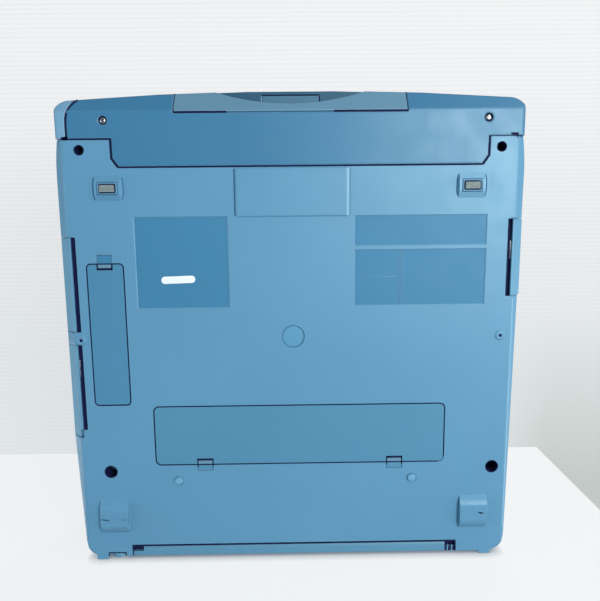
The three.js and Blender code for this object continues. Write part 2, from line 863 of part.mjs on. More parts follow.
function batteryBay() {
  return bayBox(batteryDoorLeft - fit, batteryDoorRight + fit, batteryDoorFront - fit, batteryDoorRear + fit,
    batteryBayTop);
}

// Window in the side wall for a fold-down cover; side is -1 on the left and 1 on the right
function sideWindow(side, front, length, slotShort) {
  const outer = bodyHalfWidth + overrun;
  const near = (a, b) => [Math.min(side * a, side * b), Math.max(side * a, side * b)];
  const [left, right] = near(sideCoverLip - fit, outer);
  const [slotLeft, slotRight] = near(sideSlotInner, outer);
  const rear = front + length + fit;
  return joined([
    block(left, right, front - fit, rear, -overrun, sideCoverHeight + fit),
    block(slotLeft, slotRight, front - fit, rear - slotShort, -overrun, panelTop + fit),
  ]);
}

const sideCovers = [
  ['left_cover_front', -1, leftFrontCoverFront, leftFrontCoverLength, 0],
  ['left_cover_rear', -1, leftRearCoverFront, leftRearCoverLength, leftRearSlotShort],
  ['right_cover', 1, rightCoverFront, rightCoverLength, 0],
];

function sideCover(side, front, length, slotShort) {
  const outerFoot = panelHalfWidth - fit;
  const lipTop = panelHeight + sideCoverLipRise;
  const inner = bodyHalfWidth - sideCoverThickness;
  const innerRise = panelHeight + flareRise + sideCoverThickness * mitreShare(flareRise, flareRun);
  const footRise = innerRise - (inner - outerFoot) * flareRise / flareRun;
  const profile = [
    [sideCoverLip, panelHeight + fit], [outerFoot, panelHeight + fit],
    [bodyHalfWidth, panelHeight + flareRise], [bodyHalfWidth, sideCoverHeight], [inner, sideCoverHeight],
    [inner, innerRise], [outerFoot, Math.max(footRise, lipTop)], [sideCoverLip, lipTop],
  ];
  const points = profile.map(([x, z]) => [side * x, z]);
  const cover = profileAlongY(points, front, front + length);
  if (slotShort === 0) return cover;
  const reliefInner = side * (sideCoverLip - overrun);
  const reliefOuter = side * (panelHalfWidth + sideCoverRelief);
  const rear = front + length;
  return cover.subtract(block(Math.min(reliefInner, reliefOuter), Math.max(reliefInner, reliefOuter),
    rear - slotShort - fit, rear + overrun, -overrun, panelTop + fit));
}

function lug(x) {
  return pillar(x, lugPlace, lugRadius, panelHeight - lugDrop, panelTop, roundSides);
}

function lugHole(x) {
  return pillar(x, lugPlace, lugHoleRadius, -overrun, panelTop + overrun);
}

function standFoot(x) {
  const reach = standFootWidth * halfShare;
  const top = panelHeight + standFootHeight;
  return block(x - reach, x + reach, bodyRear - wall, bodyRear + standFootReach, panelHeight, top);
}

function fieldCut(left, width, front, depth) {
  return block(left, left + width, front, front + depth, -overrun, panelHeight + fieldSink);
}

function flapWindow() {
  const front = flapFront - fit;
  const left = flapLeft - fit;
  const right = flapRight + fit;
  return block(left, right, front, bodyRear + overrun, -overrun, flapTop + fit);
}

function boardPosts(left, right, front, rear) {
  const posts = [];
  for (const x of [left + boardPostSideInset, right - boardPostSideInset]) {
    for (const y of [front + boardPostInset, rear - boardPostInset]) {
      posts.push(pillar(x, y, postRadius * halfShare, panelHeight, boardHeight - fit));
    }
  }
  return posts;
}

// Posts that carry the keyboard plate; a spread turns them into the holes they pass through
function keyPosts(spread, bottom, top) {
  return [-keyPostHalfSpan, keyPostHalfSpan].flatMap((x) => [
    pillar(x, keyPostFront, postRadius + spread, bottom, top),
    pillar(x, keyPostRear, postRadius + spread, bottom, top),
  ]);
}

function bottomCase() {
  const framePosts = [-framePostHalfSpan, framePostHalfSpan].map((x) =>
    pillar(x, framePostPlace, postRadius, panelHeight, frameBase - fit));
  const drivePosts = [driveInner + drivePostInset, portStem - drivePostInset].map((x) =>
    pillar(x, driveFront + drivePostInset, postRadius, panelHeight, driveBottom - fit));
  const plate = block(-plateHalfWidth, plateHalfWidth, plateFront, plateFront + plateDepth,
    panelHeight - plateDrop, panelTop);
  const whole = joined([
    lowerTub(sideFlare),
    ...caseWells.map(([, x, y, radius]) => wellBoss(x, y, radius)),
    footBlock(padLeft), footBlock(padRight),
    rearFoot(rearFootLeft), rearFoot(rearFootRight),
    plate,
    pillar(-nubHalfSpan, nubPlace, nubRadius, panelHeight - nubDrop, panelTop),
    pillar(nubHalfSpan, nubPlace, nubRadius, panelHeight - nubDrop, panelTop),
    batteryBay(), optionBay(),
    standFoot(standFootLeft), standFoot(standFootRight),
    block(inletPlace - inletCradleHalfWidth, inletPlace + inletCradleHalfWidth,
      bodyRear + inletReach - inletLength, bodyRear - wall - wall,
      panelHeight, inletHeight - inletRadius - fit),
    ...boardPosts(mainBoardLeft, mainBoardRight, mainBoardFront, mainBoardRear),
    ...boardPosts(powerBoardLeft, powerBoardRight, powerBoardFront, powerBoardRear),
    ...keyPosts(0, panelHeight, keyPlateBottom - fit), ...framePosts, ...drivePosts,
  ]);
  const shelled = cut(whole, [
    frontRegion(splitGap),
    batteryDoorForm(fit, -overrun, panelTop + fit),
    optionDoorForm(fit, -overrun, panelTop + fit),
    ...sideCovers.map(([, side, front, length, slotShort]) => sideWindow(side, front, length, slotShort)),
  ]);
  const lowerFieldFront = rightFieldFront + rightUpperDepth + rightFieldGap;
  const inletLeft = inletPlace - inletNotchWidth * halfShare;
  const inletRight = inletPlace + inletNotchWidth * halfShare;
  const holes = [
    ...caseWells.map(([, x, y, radius]) => wellBore(x, y, radius)),
    padBlock(padLeft, fit, -overrun, padThickness + fit),
    padBlock(padRight, fit, -overrun, padThickness + fit),
    fieldCut(leftFieldLeft, leftFieldWidth, leftFieldFront, leftFieldDepth),
    fieldCut(rightFieldLeft, rightFieldWidth, rightFieldFront, rightUpperDepth),
    fieldCut(rightFieldLeft, rightFieldWidth, lowerFieldFront, rightLowerDepth),
    pillar(0, 0, mouldingDiscRadius, -overrun, panelHeight + fieldSink, roundSides),
    flapWindow(),
    block(inletLeft, inletRight, bodyRear - wall - fit, bodyRear + overrun, -overrun, seamHeight + overrun),
    block(sideInner - overrun, bodyHalfWidth + overrun, driveFront - fit, driveRear + fit,
      driveBottom - fit, seamHeight + overrun),
  ];
  const lugged = joined([cut(shelled, holes), lug(lugLeft), lug(lugRight)]);
  return cut(lugged, [lugHole(lugLeft), lugHole(lugRight)]);
}

// Bay that takes the handle, open below and in front
function handleBay(spread) {
  const reach = handleHalfWidth + spread;
  const rear = handleRear + spread;
  return block(-reach, reach, bodyFront - overrun, rear, -overrun, handleHeight + spread);
}

function armBlock(side, spread, front, rear) {
  const centre = side * handleArmHalfSpan;
  const reach = handleArmWidth * halfShare + spread;
  const bottom = handleArmBottom - spread;
  const top = handleArmBottom + handleArmHeight + spread;
  return block(centre - reach, centre + reach, front, rear, bottom, top);
}

function armGuide(side) {
  const centre = side * handleArmHalfSpan;
  const reach = handleArmWidth * halfShare + fit + handleBayWall;
  const top = handleArmBottom + handleArmHeight + fit + handleBayWall;
  const front = handleGuideRear - handleGuideDepth;
  return block(centre - reach, centre + reach, front, handleGuideRear, panelHeight, top);
}

function coverScrewPlaces() {
  return [['left', coverScrewLeft], ['right', coverScrewRight]];
}

function frontCover() {
  const rear = handleRear + handleGap;
  const reach = handleHalfWidth + handleGap + handleBayWall;
  const top = handleHeight + handleGap + handleBayWall;
  const bay = block(-reach, reach, bodyFront + wall, rear + handleBayWall, panelHeight, top)
    .intersect(lowerForm(0, seamHeight));
  const bosses = coverScrewPlaces().map(([, x]) =>
    pillar(x, coverScrewPlace, coverScrewBossRadius, panelHeight, panelHeight + coverScrewLength + wall));
  const body = cut(lowerTub(frontFlare).intersect(frontRegion(0)), [capRegion(splitGap)]);
  const recessTop = panelHeight + coverScrewRecess + coverScrewHeadHeight + fit;
  const screwHoles = coverScrewPlaces().flatMap(([, x]) => [
    pillar(x, coverScrewPlace, coverScrewHeadRadius + coverScrewGap, -overrun, recessTop, roundSides),
    pillar(x, coverScrewPlace, coverScrewShankRadius + fit, 0, panelHeight + coverScrewLength + fit),
  ]);
  return cut(joined([body, bay, armGuide(-1), armGuide(1), ...bosses]), [
    handleBay(handleGap),
    armBlock(-1, fit, handleRear, handleArmRear + fit),
    armBlock(1, fit, handleRear, handleArmRear + fit),
    ...screwHoles,
  ]);
}

function frontEndCap() {
  return lowerTub(frontFlare).intersect(capRegion(0));
}

// Finger scoop under the front edge of the handle
function fingerScoop() {
  const centreY = handleFrontInner + scoopDepth - scoopRadius;
  return pillar(0, centreY, scoopRadius, -overrun, panelHeight + scoopHeight, scoopSides);
}

function carryHandle() {
  const grip = lowerForm(0, handleHeight).intersect(
    block(-handleHalfWidth, handleHalfWidth, bodyFront - overrun, handleRear, -overrun, handleHeight));
  const arms = [-1, 1].map((side) => armBlock(side, 0, handleRear - overrun, handleArmRear));
  const release = block(-releaseHalfWidth - fit, releaseHalfWidth + fit, releaseFront - fit,
    releaseFront + releaseDepth + fit, -overrun,
    panelHeight + scoopHeight + releaseSetback + releaseTravel + fit);
  return cut(joined([grip, ...arms]), [fingerScoop(), release]);
}

function handleRelease() {
  const bottom = panelHeight + scoopHeight;
  return block(-releaseHalfWidth, releaseHalfWidth, releaseFront, releaseFront + releaseDepth,
    bottom, bottom + releaseSetback);
}

function screw(x, y, headRadius, headBottom, headHeight, shankRadius, length) {
  const head = pillar(x, y, headRadius, headBottom, headBottom + headHeight, roundSides);
  const shank = pillar(x, y, shankRadius, headBottom + headHeight * halfShare, headBottom + length);
  return head.add(shank);
}

function caseScrew(x, y) {
  const bottom = panelHeight + wellDepth - fit - caseScrewHeadHeight;
  return screw(x, y, caseScrewHeadRadius, bottom, caseScrewHeadHeight, caseScrewShankRadius,
    caseScrewLength);
}

function coverScrew(x) {
  return screw(x, coverScrewPlace, coverScrewHeadRadius, panelHeight + coverScrewRecess,
    coverScrewHeadHeight, coverScrewShankRadius, coverScrewLength - coverScrewRecess);
}

function batteryPack() {
  const inset = batteryPackMargin + fit;
  return block(batteryDoorLeft + inset, batteryDoorRight - inset, batteryDoorFront + inset,
    batteryDoorRear - inset, panelHeight + batteryDoorThickness + fit + fit, batteryBayTop - fit);
}

function optionCard() {
  const inset = optionCardMargin + fit;
  const front = optionDoorFront + inset;
  const bottom = panelHeight + optionDoorThickness + fit;
  return block(optionDoorLeft + inset, optionDoorRight - inset, front, front + optionCardLength - fit - fit,
    bottom, bottom + optionCardThickness);
}

// Flap with a round-fronted bar along its foot, which is its hinge
function paperFlap() {
  const radius = flapDepth * halfShare;
  const middle = flapBottom + flapBarHeight * halfShare;
  const inner = bodyRear - flapThickness;
  const shape = new THREE.Shape();
  shape.moveTo(bodyRear, flapBottom);
  shape.lineTo(bodyRear, flapTop);
  shape.lineTo(inner, flapTop);
  shape.lineTo(inner, flapBottom + flapBarHeight);
  shape.lineTo(flapFront + radius, flapBottom + flapBarHeight);
  shape.quadraticCurveTo(flapFront, flapBottom + flapBarHeight, flapFront, middle);
  shape.quadraticCurveTo(flapFront, flapBottom, flapFront + radius, flapBottom);
  const points = shape.getPoints(arcSteps).map((point) => [point.x, point.y]);
  const notches = [[flapLeft, flapLeft + flapEndNotch], [flapRight - flapEndNotch, flapRight]].map(
    ([left, right]) => block(left - fit, right + fit, flapFront - fit, flapFront + flapEndNotchDepth,
      -overrun, flapBottom + flapBarHeight + fit));
  return cut(profileAlongX(points, flapLeft, flapRight), notches);
}

// Profile of the upper body seen from the side, drawn in by an inset
function upperProfile(inset, bottom) {
  const front = bodyFront + inset;
  const rear = bodyRear - inset;
  const top = humpHeight - inset;
  return [
    [front, bottom], [front, deckHeight - deckEdgeBevel - inset * halfShare],
    [front + deckEdgeBevel, deckHeight - inset], [humpFront + inset, deckHeight - inset],
    [humpFront + inset, humpEdgeHeight - inset * halfShare], [humpFront + humpSlopeRun, top],
    [rear - humpRearBevel, top], [rear, top - humpRearBevel], [rear, bottom],
  ];
}

function upperForm(inset, bottom) {
  const width = bodyHalfWidth - inset;
  const top = humpHeight - inset;
  const across = [
    [-width, bottom], [width, bottom], [width, top - humpSideBevel],
    [width - humpSideBevel, top], [humpSideBevel - width, top], [-width, top - humpSideBevel],
  ];
  return upright(bodyPlan(inset), bottom, humpHeight)
    .intersect(profileAlongX(upperProfile(inset, bottom), -bodyHalfWidth, bodyHalfWidth))
    .intersect(profileAlongY(across, bodyFront, bodyRear));
}

function dialShelf() {
  const front = dialPlace - dialRadius;
  const rear = dialPlace + dialRadius;
  const top = dialBottom - fit;
  const inner = bodyHalfWidth - dialInset - dialRadius - dialRadius * halfShare;
  return block(inner, bodyHalfWidth - wall * halfShare, front, rear, top - dialShelfThickness, top);
}

function switchRail() {
  const rear = switchFront + switchSlotLength;
  const inner = -bodyHalfWidth + wall * halfShare;
  const top = switchBottom - fit;
  return block(inner, inner + switchDepth + wall, switchFront, rear, top - switchRailThickness, top);
}

function topCase() {
  const bottom = seamHeight + fit;
  const shell = upperForm(0, bottom).subtract(upperForm(wall, bottom - overrun));
  const keyHalf = keyRowHalfWidth + keyBedMargin;
  const dialCentre = bodyHalfWidth - dialInset - dialRadius;
  const dialSlot = dialThickness + fit;
  const tongueRear = lidFront + wall + fit + tongueThickness;
  const cuts = [
    block(-keyHalf, keyHalf, keyRowFront - keyBedMargin, functionRowRear + keyBedMargin,
      seamHeight, deckHeight + overrun),
    block(-coverHalfWidth - fit, coverHalfWidth + fit, coverFront - fit, coverRear + fit,
      deckHeight, humpHeight + overrun),
    flapWindow(),
    block(-platenHalfLength, platenHalfLength, bodyRear - wall - overrun, bodyRear + overrun,
      flapTop + fit + wall, flapTop + fit + wall + paperSlotHeight),
    block(-tongueHalfWidth - latchTravel - tongueClearance, tongueHalfWidth + latchTravel + tongueClearance,
      lidFront + wall + fit - tongueClearance, tongueRear + tongueClearance,
      deckHeight - wall - overrun, deckHeight + overrun),
    pillar(dialCentre, dialPlace, dialRadius + fit, dialBottom - fit, dialBottom + dialSlot, roundSides),
    pillar(dialCentre, dialPlace, dialSpindleRadius + fit, seamHeight, dialBottom + overrun),
    block(-bodyHalfWidth - overrun, -bodyHalfWidth + wall + overrun, switchFront,
      switchFront + switchSlotLength, switchBottom - fit, switchBottom + switchHeight + fit),
  ];
  return cut(joined([shell, dialShelf(), switchRail()]), cuts);
}

function printerCover() {
  const bottom = humpHeight - coverPlateThickness;
  const plate = block(-coverHalfWidth, coverHalfWidth, coverFront, coverRear, bottom, humpHeight);
  return cut(plate, [block(-paperExitHalfWidth, paperExitHalfWidth, paperExitFront,
    paperExitFront + paperExitDepth, bottom - overrun, humpHeight + overrun)]);
}

// Plan of the lid and its bezel: the body's bow in front, rounded corners
function lidPlan(halfWidth, front, rear, radius) {
  const shape = new THREE.Shape();
  shape.moveTo(halfWidth, rear - radius);
  shape.absarc(halfWidth - radius, rear - radius, radius, 0, Math.PI / 2);
  shape.absarc(radius - halfWidth, rear - radius, radius, Math.PI / 2, Math.PI);
  addBowedFront(shape, halfWidth, front, radius);
  return shape;
}

function lidForm(inset, bottom) {
  const front = lidFront + inset;
  const rear = lidRear - inset;
  const profile = [
    [front, bottom], [rear, bottom], [rear, lidTopRearHeight - inset],
    [front + lidFrontBevel, lidTopFrontHeight - inset], [front, lidFrontHeight - inset],
  ];
  const half = lidHalfWidth - inset;
  const plan = lidPlan(half, front, rear, lidCornerRadius - inset);
  return upright(plan, bottom, humpHeight + overrun).intersect(profileAlongX(profile, -half, half));
}

function lidKnuckle(side) {
  const left = Math.min(side * knuckleInner, side * knuckleOuter);
  const right = Math.max(side * knuckleInner, side * knuckleOuter);
  const barrel = rodAlongX(hingeY, hingeZ, knuckleRadius, left, right);
  const web = block(left, right, lidRear - wall, hingeY, hingeZ - knuckleRadius * halfShare,
    hingeZ + knuckleRadius * halfShare);
  return barrel.add(web).subtract(
    rodAlongX(hingeY, hingeZ, hingePinRadius + fit, left - overrun, right + overrun));
}

function latchSlot() {
  const bottom = deckHeight + fit + latchRise;
  return block(-latchHalfWidth - fit, latchHalfWidth + latchTravel + fit, lidFront - overrun,
    lidFront + wall + overrun, bottom - fit, bottom + latchHeight + fit);
}

function lidShell() {
  const bottom = deckHeight + fit;
  const shell = lidForm(0, bottom).subtract(lidForm(wall, bottom - overrun));
  return cut(joined([shell, lidKnuckle(-1), lidKnuckle(1)]), [latchSlot()]);
}

function lidLatch() {
  const bottom = deckHeight + fit + latchRise;
  const inner = lidFront + wall + fit;
  const button = block(-latchHalfWidth, latchHalfWidth, lidFront - latchProud, inner + tongueThickness,
    bottom, bottom + latchHeight);
  const tongue = block(-tongueHalfWidth, tongueHalfWidth, inner, inner + tongueThickness,
    deckHeight - tongueDrop, bottom + latchHeight);
  return button.add(tongue);
}

function lidBezel() {
  const bottom = deckHeight + fit + fit;
  const half = lidHalfWidth - wall - fit;
  const plan = lidPlan(half, bezelFront, lidRear - wall - fit, lidCornerRadius - wall);
  const window = block(-windowHalfWidth, windowHalfWidth, windowFront, windowRear,
    deckHeight - overrun, deckHeight + overrun + bezelThickness);
  return upright(plan, bottom, bottom + bezelThickness).subtract(window);
}

function displayPanel() {
  const bottom = deckHeight + fit + fit + bezelThickness + fit;
  const half = windowHalfWidth + displayMargin;
  return block(-half, half, windowFront - displayMargin, windowRear + displayMargin,
    bottom, bottom + displayThickness);
}

// Hinge bracket that stands on the deck and carries the pin of one knuckle
function hingeBracket(side) {
  const inner = knuckleOuter + fit;
  const outer = inner + hingePlateThickness;
  const span = (a, b) => [Math.min(side * a, side * b), Math.max(side * a, side * b)];
  const [left, right] = span(inner, outer);
  const [footLeft, footRight] = span(inner, inner + hingeFootWidth);
  const [pinLeft, pinRight] = span(knuckleInner, outer);
  const front = hingeY - hingePlateHalfWidth;
  const rear = hingeY + hingePlateHalfWidth;
  const foot = deckHeight + fit;
  return joined([
    block(left, right, front, rear, foot, hingeZ),
    rodAlongX(hingeY, hingeZ, hingePlateHalfWidth, left, right),
    block(footLeft, footRight, front, rear, foot, foot + hingeFootThickness),
    rodAlongX(hingeY, hingeZ, hingePinRadius, pinLeft, pinRight),
  ]);
}

// One key cap, drawn in towards its top
function keyCap(left, right, front, rear) {
  const inset = keyGap * halfShare;
  const width = right - left - inset - inset;
  const depth = rear - front - inset - inset;
  const geometry = new THREE.BoxGeometry(width, depth, keyCapHeight);
  const places = geometry.attributes.position;
  const step = keyPitch * (1 - keyTopShare) * halfShare;
  for (let index = 0; index < places.count; index += 1) {
    if (places.getZ(index) > 0) {
      places.setX(index, places.getX(index) - Math.sign(places.getX(index)) * step);
      places.setY(index, places.getY(index) - Math.sign(places.getY(index)) * step);
    }
  }
  const middle = keyTop - keyCapHeight * halfShare;
  geometry.translate((left + right) * halfShare, (front + rear) * halfShare, middle);
  return solidOf(geometry);
}

// Key groups: name, row from the front, first place and the width of each cap as shares of the pitch
const keyGroupShares = [
  ['keys_space_row_left', 0, 0, [1.25, 1.25, 1.25]],
  ['keys_space', 0, 3.75, [4]],
  ['keys_space_row_right', 0, 7.75, [1.25, 1.25, 1, 1]],
  ['keys_cursor', 0, 12.25, [0.9, 0.9, 0.95]],
  ['keys_shift_left', 1, 0, [2.25]],
  ['keys_lower_row', 1, 2.25, [1, 1, 1, 1, 1, 1, 1, 1, 1, 1]],
  ['keys_shift_right', 1, 12.25, [2.75]],
  ['keys_home_row', 2, 0, [1.75, 1, 1, 1, 1, 1, 1, 1, 1, 1, 1, 1]],
  ['keys_return', 2, 12.75, [2.25]],
  ['keys_upper_row', 3, 0, [1.5, 1, 1, 1, 1, 1, 1, 1, 1, 1, 1, 1, 1, 1.5]],
  ['keys_digit_row', 4, 0, [1, 1, 1, 1, 1, 1, 1, 1, 1, 1, 1, 1, 1, 1, 1]],
  ['keys_function_left', 5, 0, [1, 1, 1, 1, 1]],
  ['keys_function_middle', 5, 5, [1, 1, 1, 1, 1]],
  ['keys_function_right', 5, 10, [1, 1, 1, 1, 1]],
];

function keyGroupBounds(row, first, widths) {
  const units = widths.reduce((sum, width) => sum + width, 0);
  const left = first * keyColumnPitch - keyRowHalfWidth;
  const right = left + units * keyColumnPitch;
  const isFunctionRow = row === letterRows;
  const front = isFunctionRow ? functionRowFront : keyRowFront + row * keyPitch;
  const rear = isFunctionRow ? functionRowRear : front + keyPitch;
  return { left, right, front, rear };
}

function plungerPlaces(row, first, widths) {
  const { left, right, front, rear } = keyGroupBounds(row, first, widths);
  const inset = keyColumnPitch * halfShare;
  const y = (front + rear) * halfShare;
  const isSingle = right - left < keyColumnPitch * 2;
  return isSingle ? [[(left + right) * halfShare, y]] : [[left + inset, y], [right - inset, y]];
}

function keyGroup(row, first, widths) {
  const { left, right, front, rear } = keyGroupBounds(row, first, widths);
  const inset = keyGap * halfShare;
  const webTop = keyTop - keyCapHeight;
  const web = block(left + inset, right - inset, front + inset, rear - inset, keyWebBottom, webTop);
  const caps = [];
  let edge = left;
  for (const width of widths) {
    const next = edge + width * keyColumnPitch;
    caps.push(keyCap(edge, next, front, rear));
    edge = next;
  }
  const plungers = plungerPlaces(row, first, widths).map(([x, y]) =>
    pillar(x, y, plungerRadius, keyPlateBottom - fit, webTop));
  return joined([web, ...caps, ...plungers]);
}

function keyboardPlate() {
  const half = keyRowHalfWidth + keyBedMargin + plateReach;
  const plate = block(-half, half, keyPlateFront, keyPlateRear, keyPlateBottom, keyPlateTop);
  const holes = keyGroupShares.flatMap(([, row, first, widths]) => plungerPlaces(row, first, widths)).map(
    ([x, y]) => pillar(x, y, plungerRadius + fit, keyPlateBottom - overrun, keyPlateTop + overrun));
  return cut(plate, holes);
}

// Pressed-steel frame of the printer, with the pegs of the belt
function printerFrame() {
  const base = block(-frameOuter, frameOuter, frameFront, frameRear, frameBase, frameTop);
  const sides = [[-frameOuter, -frameHalfWidth], [frameHalfWidth, frameOuter]].map(([left, right]) =>
    block(left, right, frameFront, frameRear, frameBase, frameSideTop));
  const pegY = frameFront + beltRadius + beltThickness + fit;
  const pegs = [-pulleyHalfSpan, pulleyHalfSpan].map((x) =>
    pillar(x, pegY, beltRadius - fit, frameBase, beltBottom + beltHeight + fit, smallRoundSides));
  const reach = frameOuter + overrun;
  return cut(joined([base, ...sides, ...pegs]), [
    rodAlongX(rodY, rodZ, rodRadius + fit, -reach, reach),
    rodAlongX(platenY, platenZ, platenShaftRadius + fit, -reach, reach),
  ]);
}

function carriageBelt() {
  const pegY = frameFront + beltRadius + beltThickness + fit;
  const loop = (radius) => {
    const shape = new THREE.Shape();
    shape.absarc(pulleyHalfSpan, pegY, radius, -Math.PI / 2, Math.PI / 2);
    shape.absarc(-pulleyHalfSpan, pegY, radius, Math.PI / 2, Math.PI * 1.5);
    return shape;
  };
  const outer = upright(loop(beltRadius + beltThickness), beltBottom, beltBottom + beltHeight);
  return outer.subtract(upright(loop(beltRadius), beltBottom - overrun, beltBottom + beltHeight + overrun));
}

function platenRoller() {
  const roller = rodAlongX(platenY, platenZ, platenRadius, -platenHalfLength, platenHalfLength);
  const end = frameOuter + fit;
  return roller.add(rodAlongX(platenY, platenZ, platenShaftRadius, -end - knobWidth, end));
}

function feedKnob() {
  const right = -frameOuter - fit;
  const knob = rodAlongX(platenY, platenZ, knobRadius, right - knobWidth, right);
  return knob.subtract(rodAlongX(platenY, platenZ, platenShaftRadius + fit, right - knobWidth - overrun,
    right + overrun));
}

function feedMotor() {
  const left = frameOuter + fit + fit;
  return rodAlongX(platenY, platenZ, motorRadius, left, left + motorLength);
}

function guideRod() {
  return rodAlongX(rodY, rodZ, rodRadius, -frameOuter, frameOuter);
}

function carriagePlan() {
  const left = carriageHome - carriageWidth * halfShare;
  const front = rodY - carriageDepth * halfShare;
  return { left, right: left + carriageWidth, front, rear: front + carriageDepth };
}

function printCarriage() {
  const { left, right, front, rear } = carriagePlan();
  const body = block(left, right, front, rear, carriageBottom, carriageTop);
  const headRear = platenY - platenRadius - fit;
  const head = block(carriageHome - headWidth * halfShare, carriageHome + headWidth * halfShare,
    rear - overrun, headRear, platenZ - headHeight * halfShare, carriageTop);
  return body.add(head).subtract(rodAlongX(rodY, rodZ, rodRadius + fit, left - overrun, right + overrun));
}

function ribbonCassette() {
  const rear = rodY + carriageDepth * halfShare;
  const bottom = carriageTop + fit;
  const plan = roundedRectangle(carriageHome - cassetteWidth * halfShare,
    carriageHome + cassetteWidth * halfShare, rear - cassetteDepth, rear, cassetteHeight);
  return upright(plan, bottom, bottom + cassetteHeight);
}

function chip(left, front) {
  const bottom = boardHeight + boardThickness * halfShare;
  const top = boardHeight + boardThickness + chipThickness;
  return block(left, left + chipSize, front, front + chipSize, bottom, top);
}

// Socket block of a side port, standing on the edge of a board
function portBlock(side, front, length) {
  const span = (a, b) => [Math.min(side * a, side * b), Math.max(side * a, side * b)];
  const [left, right] = span(portInner, portOuter);
  const [stemLeft, stemRight] = span(portInner, portStem);
  const start = front + portInset;
  const end = front + length - portInset;
  return joined([
    block(left, right, start, end, portBottom, portBottom + portHeight),
    block(stemLeft, stemRight, start, end, boardHeight, portBottom + portHeight),
  ]);
}

function mainBoard() {
  const board = block(mainBoardLeft, mainBoardRight, mainBoardFront, mainBoardRear,
    boardHeight, boardHeight + boardThickness);
  const chips = [0, 1, 2].map((index) =>
    chip(optionDoorRight + chipGap + index * (chipSize + chipGap), mainBoardFront + chipGap));
  const ports = [
    portBlock(-1, leftFrontCoverFront, leftFrontCoverLength),
    portBlock(-1, leftRearCoverFront, rearPortLength),
  ];
  const holes = keyPosts(fit, boardHeight - overrun, boardHeight + overrun);
  return joined([cut(board, holes), ...chips, ...ports]);
}

function powerBoard() {
  const board = block(powerBoardLeft, powerBoardRight, powerBoardFront, powerBoardRear,
    boardHeight, boardHeight + boardThickness);
  const coilLeft = powerBoardLeft + coilInset;
  const coilFront = powerBoardFront + coilInset;
  const coil = block(coilLeft, coilLeft + coilSize, coilFront, coilFront + coilSize,
    boardHeight + boardThickness * halfShare, boardHeight + boardThickness + coilHeight);
  const holes = keyPosts(fit, boardHeight - overrun, boardHeight + overrun);
  return joined([cut(board, holes), coil, portBlock(1, rightCoverFront, rightCoverLength)]);
}

function driveSlot() {
  const top = driveTop - driveSlotDrop;
  return block(sideInner - driveSlotDepth, bodyHalfWidth + overrun, driveFront + driveSlotMargin,
    driveRear - driveSlotMargin, top - driveSlotHeight, top);
}

function ejectPlan(spread) {
  const rear = driveRear - ejectInset;
  const bottom = driveBottom + ejectRise;
  return [rear - ejectWidth - spread, rear + spread, bottom - spread, bottom + ejectHeight + spread];
}

// Disk drive, with a face that fills the notch of the side wall
function diskDrive() {
  const body = block(driveInner, sideInner - fit, driveFront, driveRear, driveBottom, driveTop);
  const face = block(sideInner - overrun, bodyHalfWidth, driveFront, driveRear, driveBottom,
    driveTop - driveFaceRise);
  const [front, rear, bottom, top] = ejectPlan(fit);
  const pocket = block(bodyHalfWidth - ejectLength - ejectTravel - fit, bodyHalfWidth + overrun,
    front, rear, bottom, top);
  return cut(body.add(face), [driveSlot(), pocket]);
}

function ejectButton() {
  const [front, rear, bottom, top] = ejectPlan(0);
  return block(bodyHalfWidth - ejectLength, bodyHalfWidth - ejectReach, front, rear, bottom, top);
}

function powerSwitch() {
  const left = -bodyHalfWidth - switchProudness;
  return block(-bodyHalfWidth + switchProudness, left + switchDepth, switchFront + fit,
    switchFront + fit + switchLength, switchBottom, switchBottom + switchHeight);
}

function contrastDial() {
  const centre = bodyHalfWidth - dialInset - dialRadius;
  const wheel = pillar(centre, dialPlace, dialRadius, dialBottom, dialBottom + dialThickness, roundSides);
  return wheel.add(pillar(centre, dialPlace, dialSpindleRadius, dialBottom - dialSpindleLength,
    dialBottom + dialThickness * halfShare));
}

function powerInlet() {
  const front = bodyRear + inletReach - inletLength;
  const body = rodAlongY(inletPlace, inletHeight, inletRadius, front, bodyRear + inletReach);
  const bore = rodAlongY(inletPlace, inletHeight, inletBore, front + wall, bodyRear + overrun);
  return body.subtract(bore);
}

// Assembly
const wordProcessor = new THREE.Group();

function place(name, solid, material) {
  const mesh = new THREE.Mesh(geometryOf(solid), material);
  mesh.name = name;
  wordProcessor.add(mesh);
}

place('bottom_case', bottomCase(), bluePlastic());
place('front_cover', frontCover(), darkBluePlastic());
place('front_end_cap', frontEndCap(), darkBluePlastic());
place('carry_handle', carryHandle(), bluePlastic());
place('handle_release', handleRelease(), bluePlastic());
place('front_foot_left', padBlock(padLeft, 0, 0, padThickness), midGreyPlastic());
place('front_foot_right', padBlock(padRight, 0, 0, padThickness), midGreyPlastic());
place('battery_door', batteryDoorForm(0, panelHeight, panelHeight + batteryDoorThickness), bluePlastic());
place('battery_pack', batteryPack(), charcoalPlastic());
place('option_door', optionDoorForm(0, panelHeight, panelHeight + optionDoorThickness), bluePlastic());
place('option_card', optionCard(), charcoalPlastic());
for (const [name, side, front, length, slotShort] of sideCovers) {
  place(name, sideCover(side, front, length, slotShort), bluePlastic());
}
place('paper_flap', paperFlap(), bluePlastic());
for (const [name, x, y] of caseWells) {
  place(`case_screw_${name}`, caseScrew(x, y), darkSteel());
}
for (const [name, x] of coverScrewPlaces()) {
  place(`cover_screw_${name}`, coverScrew(x), steel());
}
place('top_case', topCase(), bluePlastic());
place('printer_cover', printerCover(), bluePlastic());
place('lid_shell', lidShell(), bluePlastic());
place('lid_bezel', lidBezel(), paleGreyPlastic());
place('lcd_panel', displayPanel(), glassPanel());
place('lid_latch', lidLatch(), darkBluePlastic());
place('hinge_left', hingeBracket(-1), steel());
place('hinge_right', hingeBracket(1), steel());
place('keyboard_plate', keyboardPlate(), darkSteel());
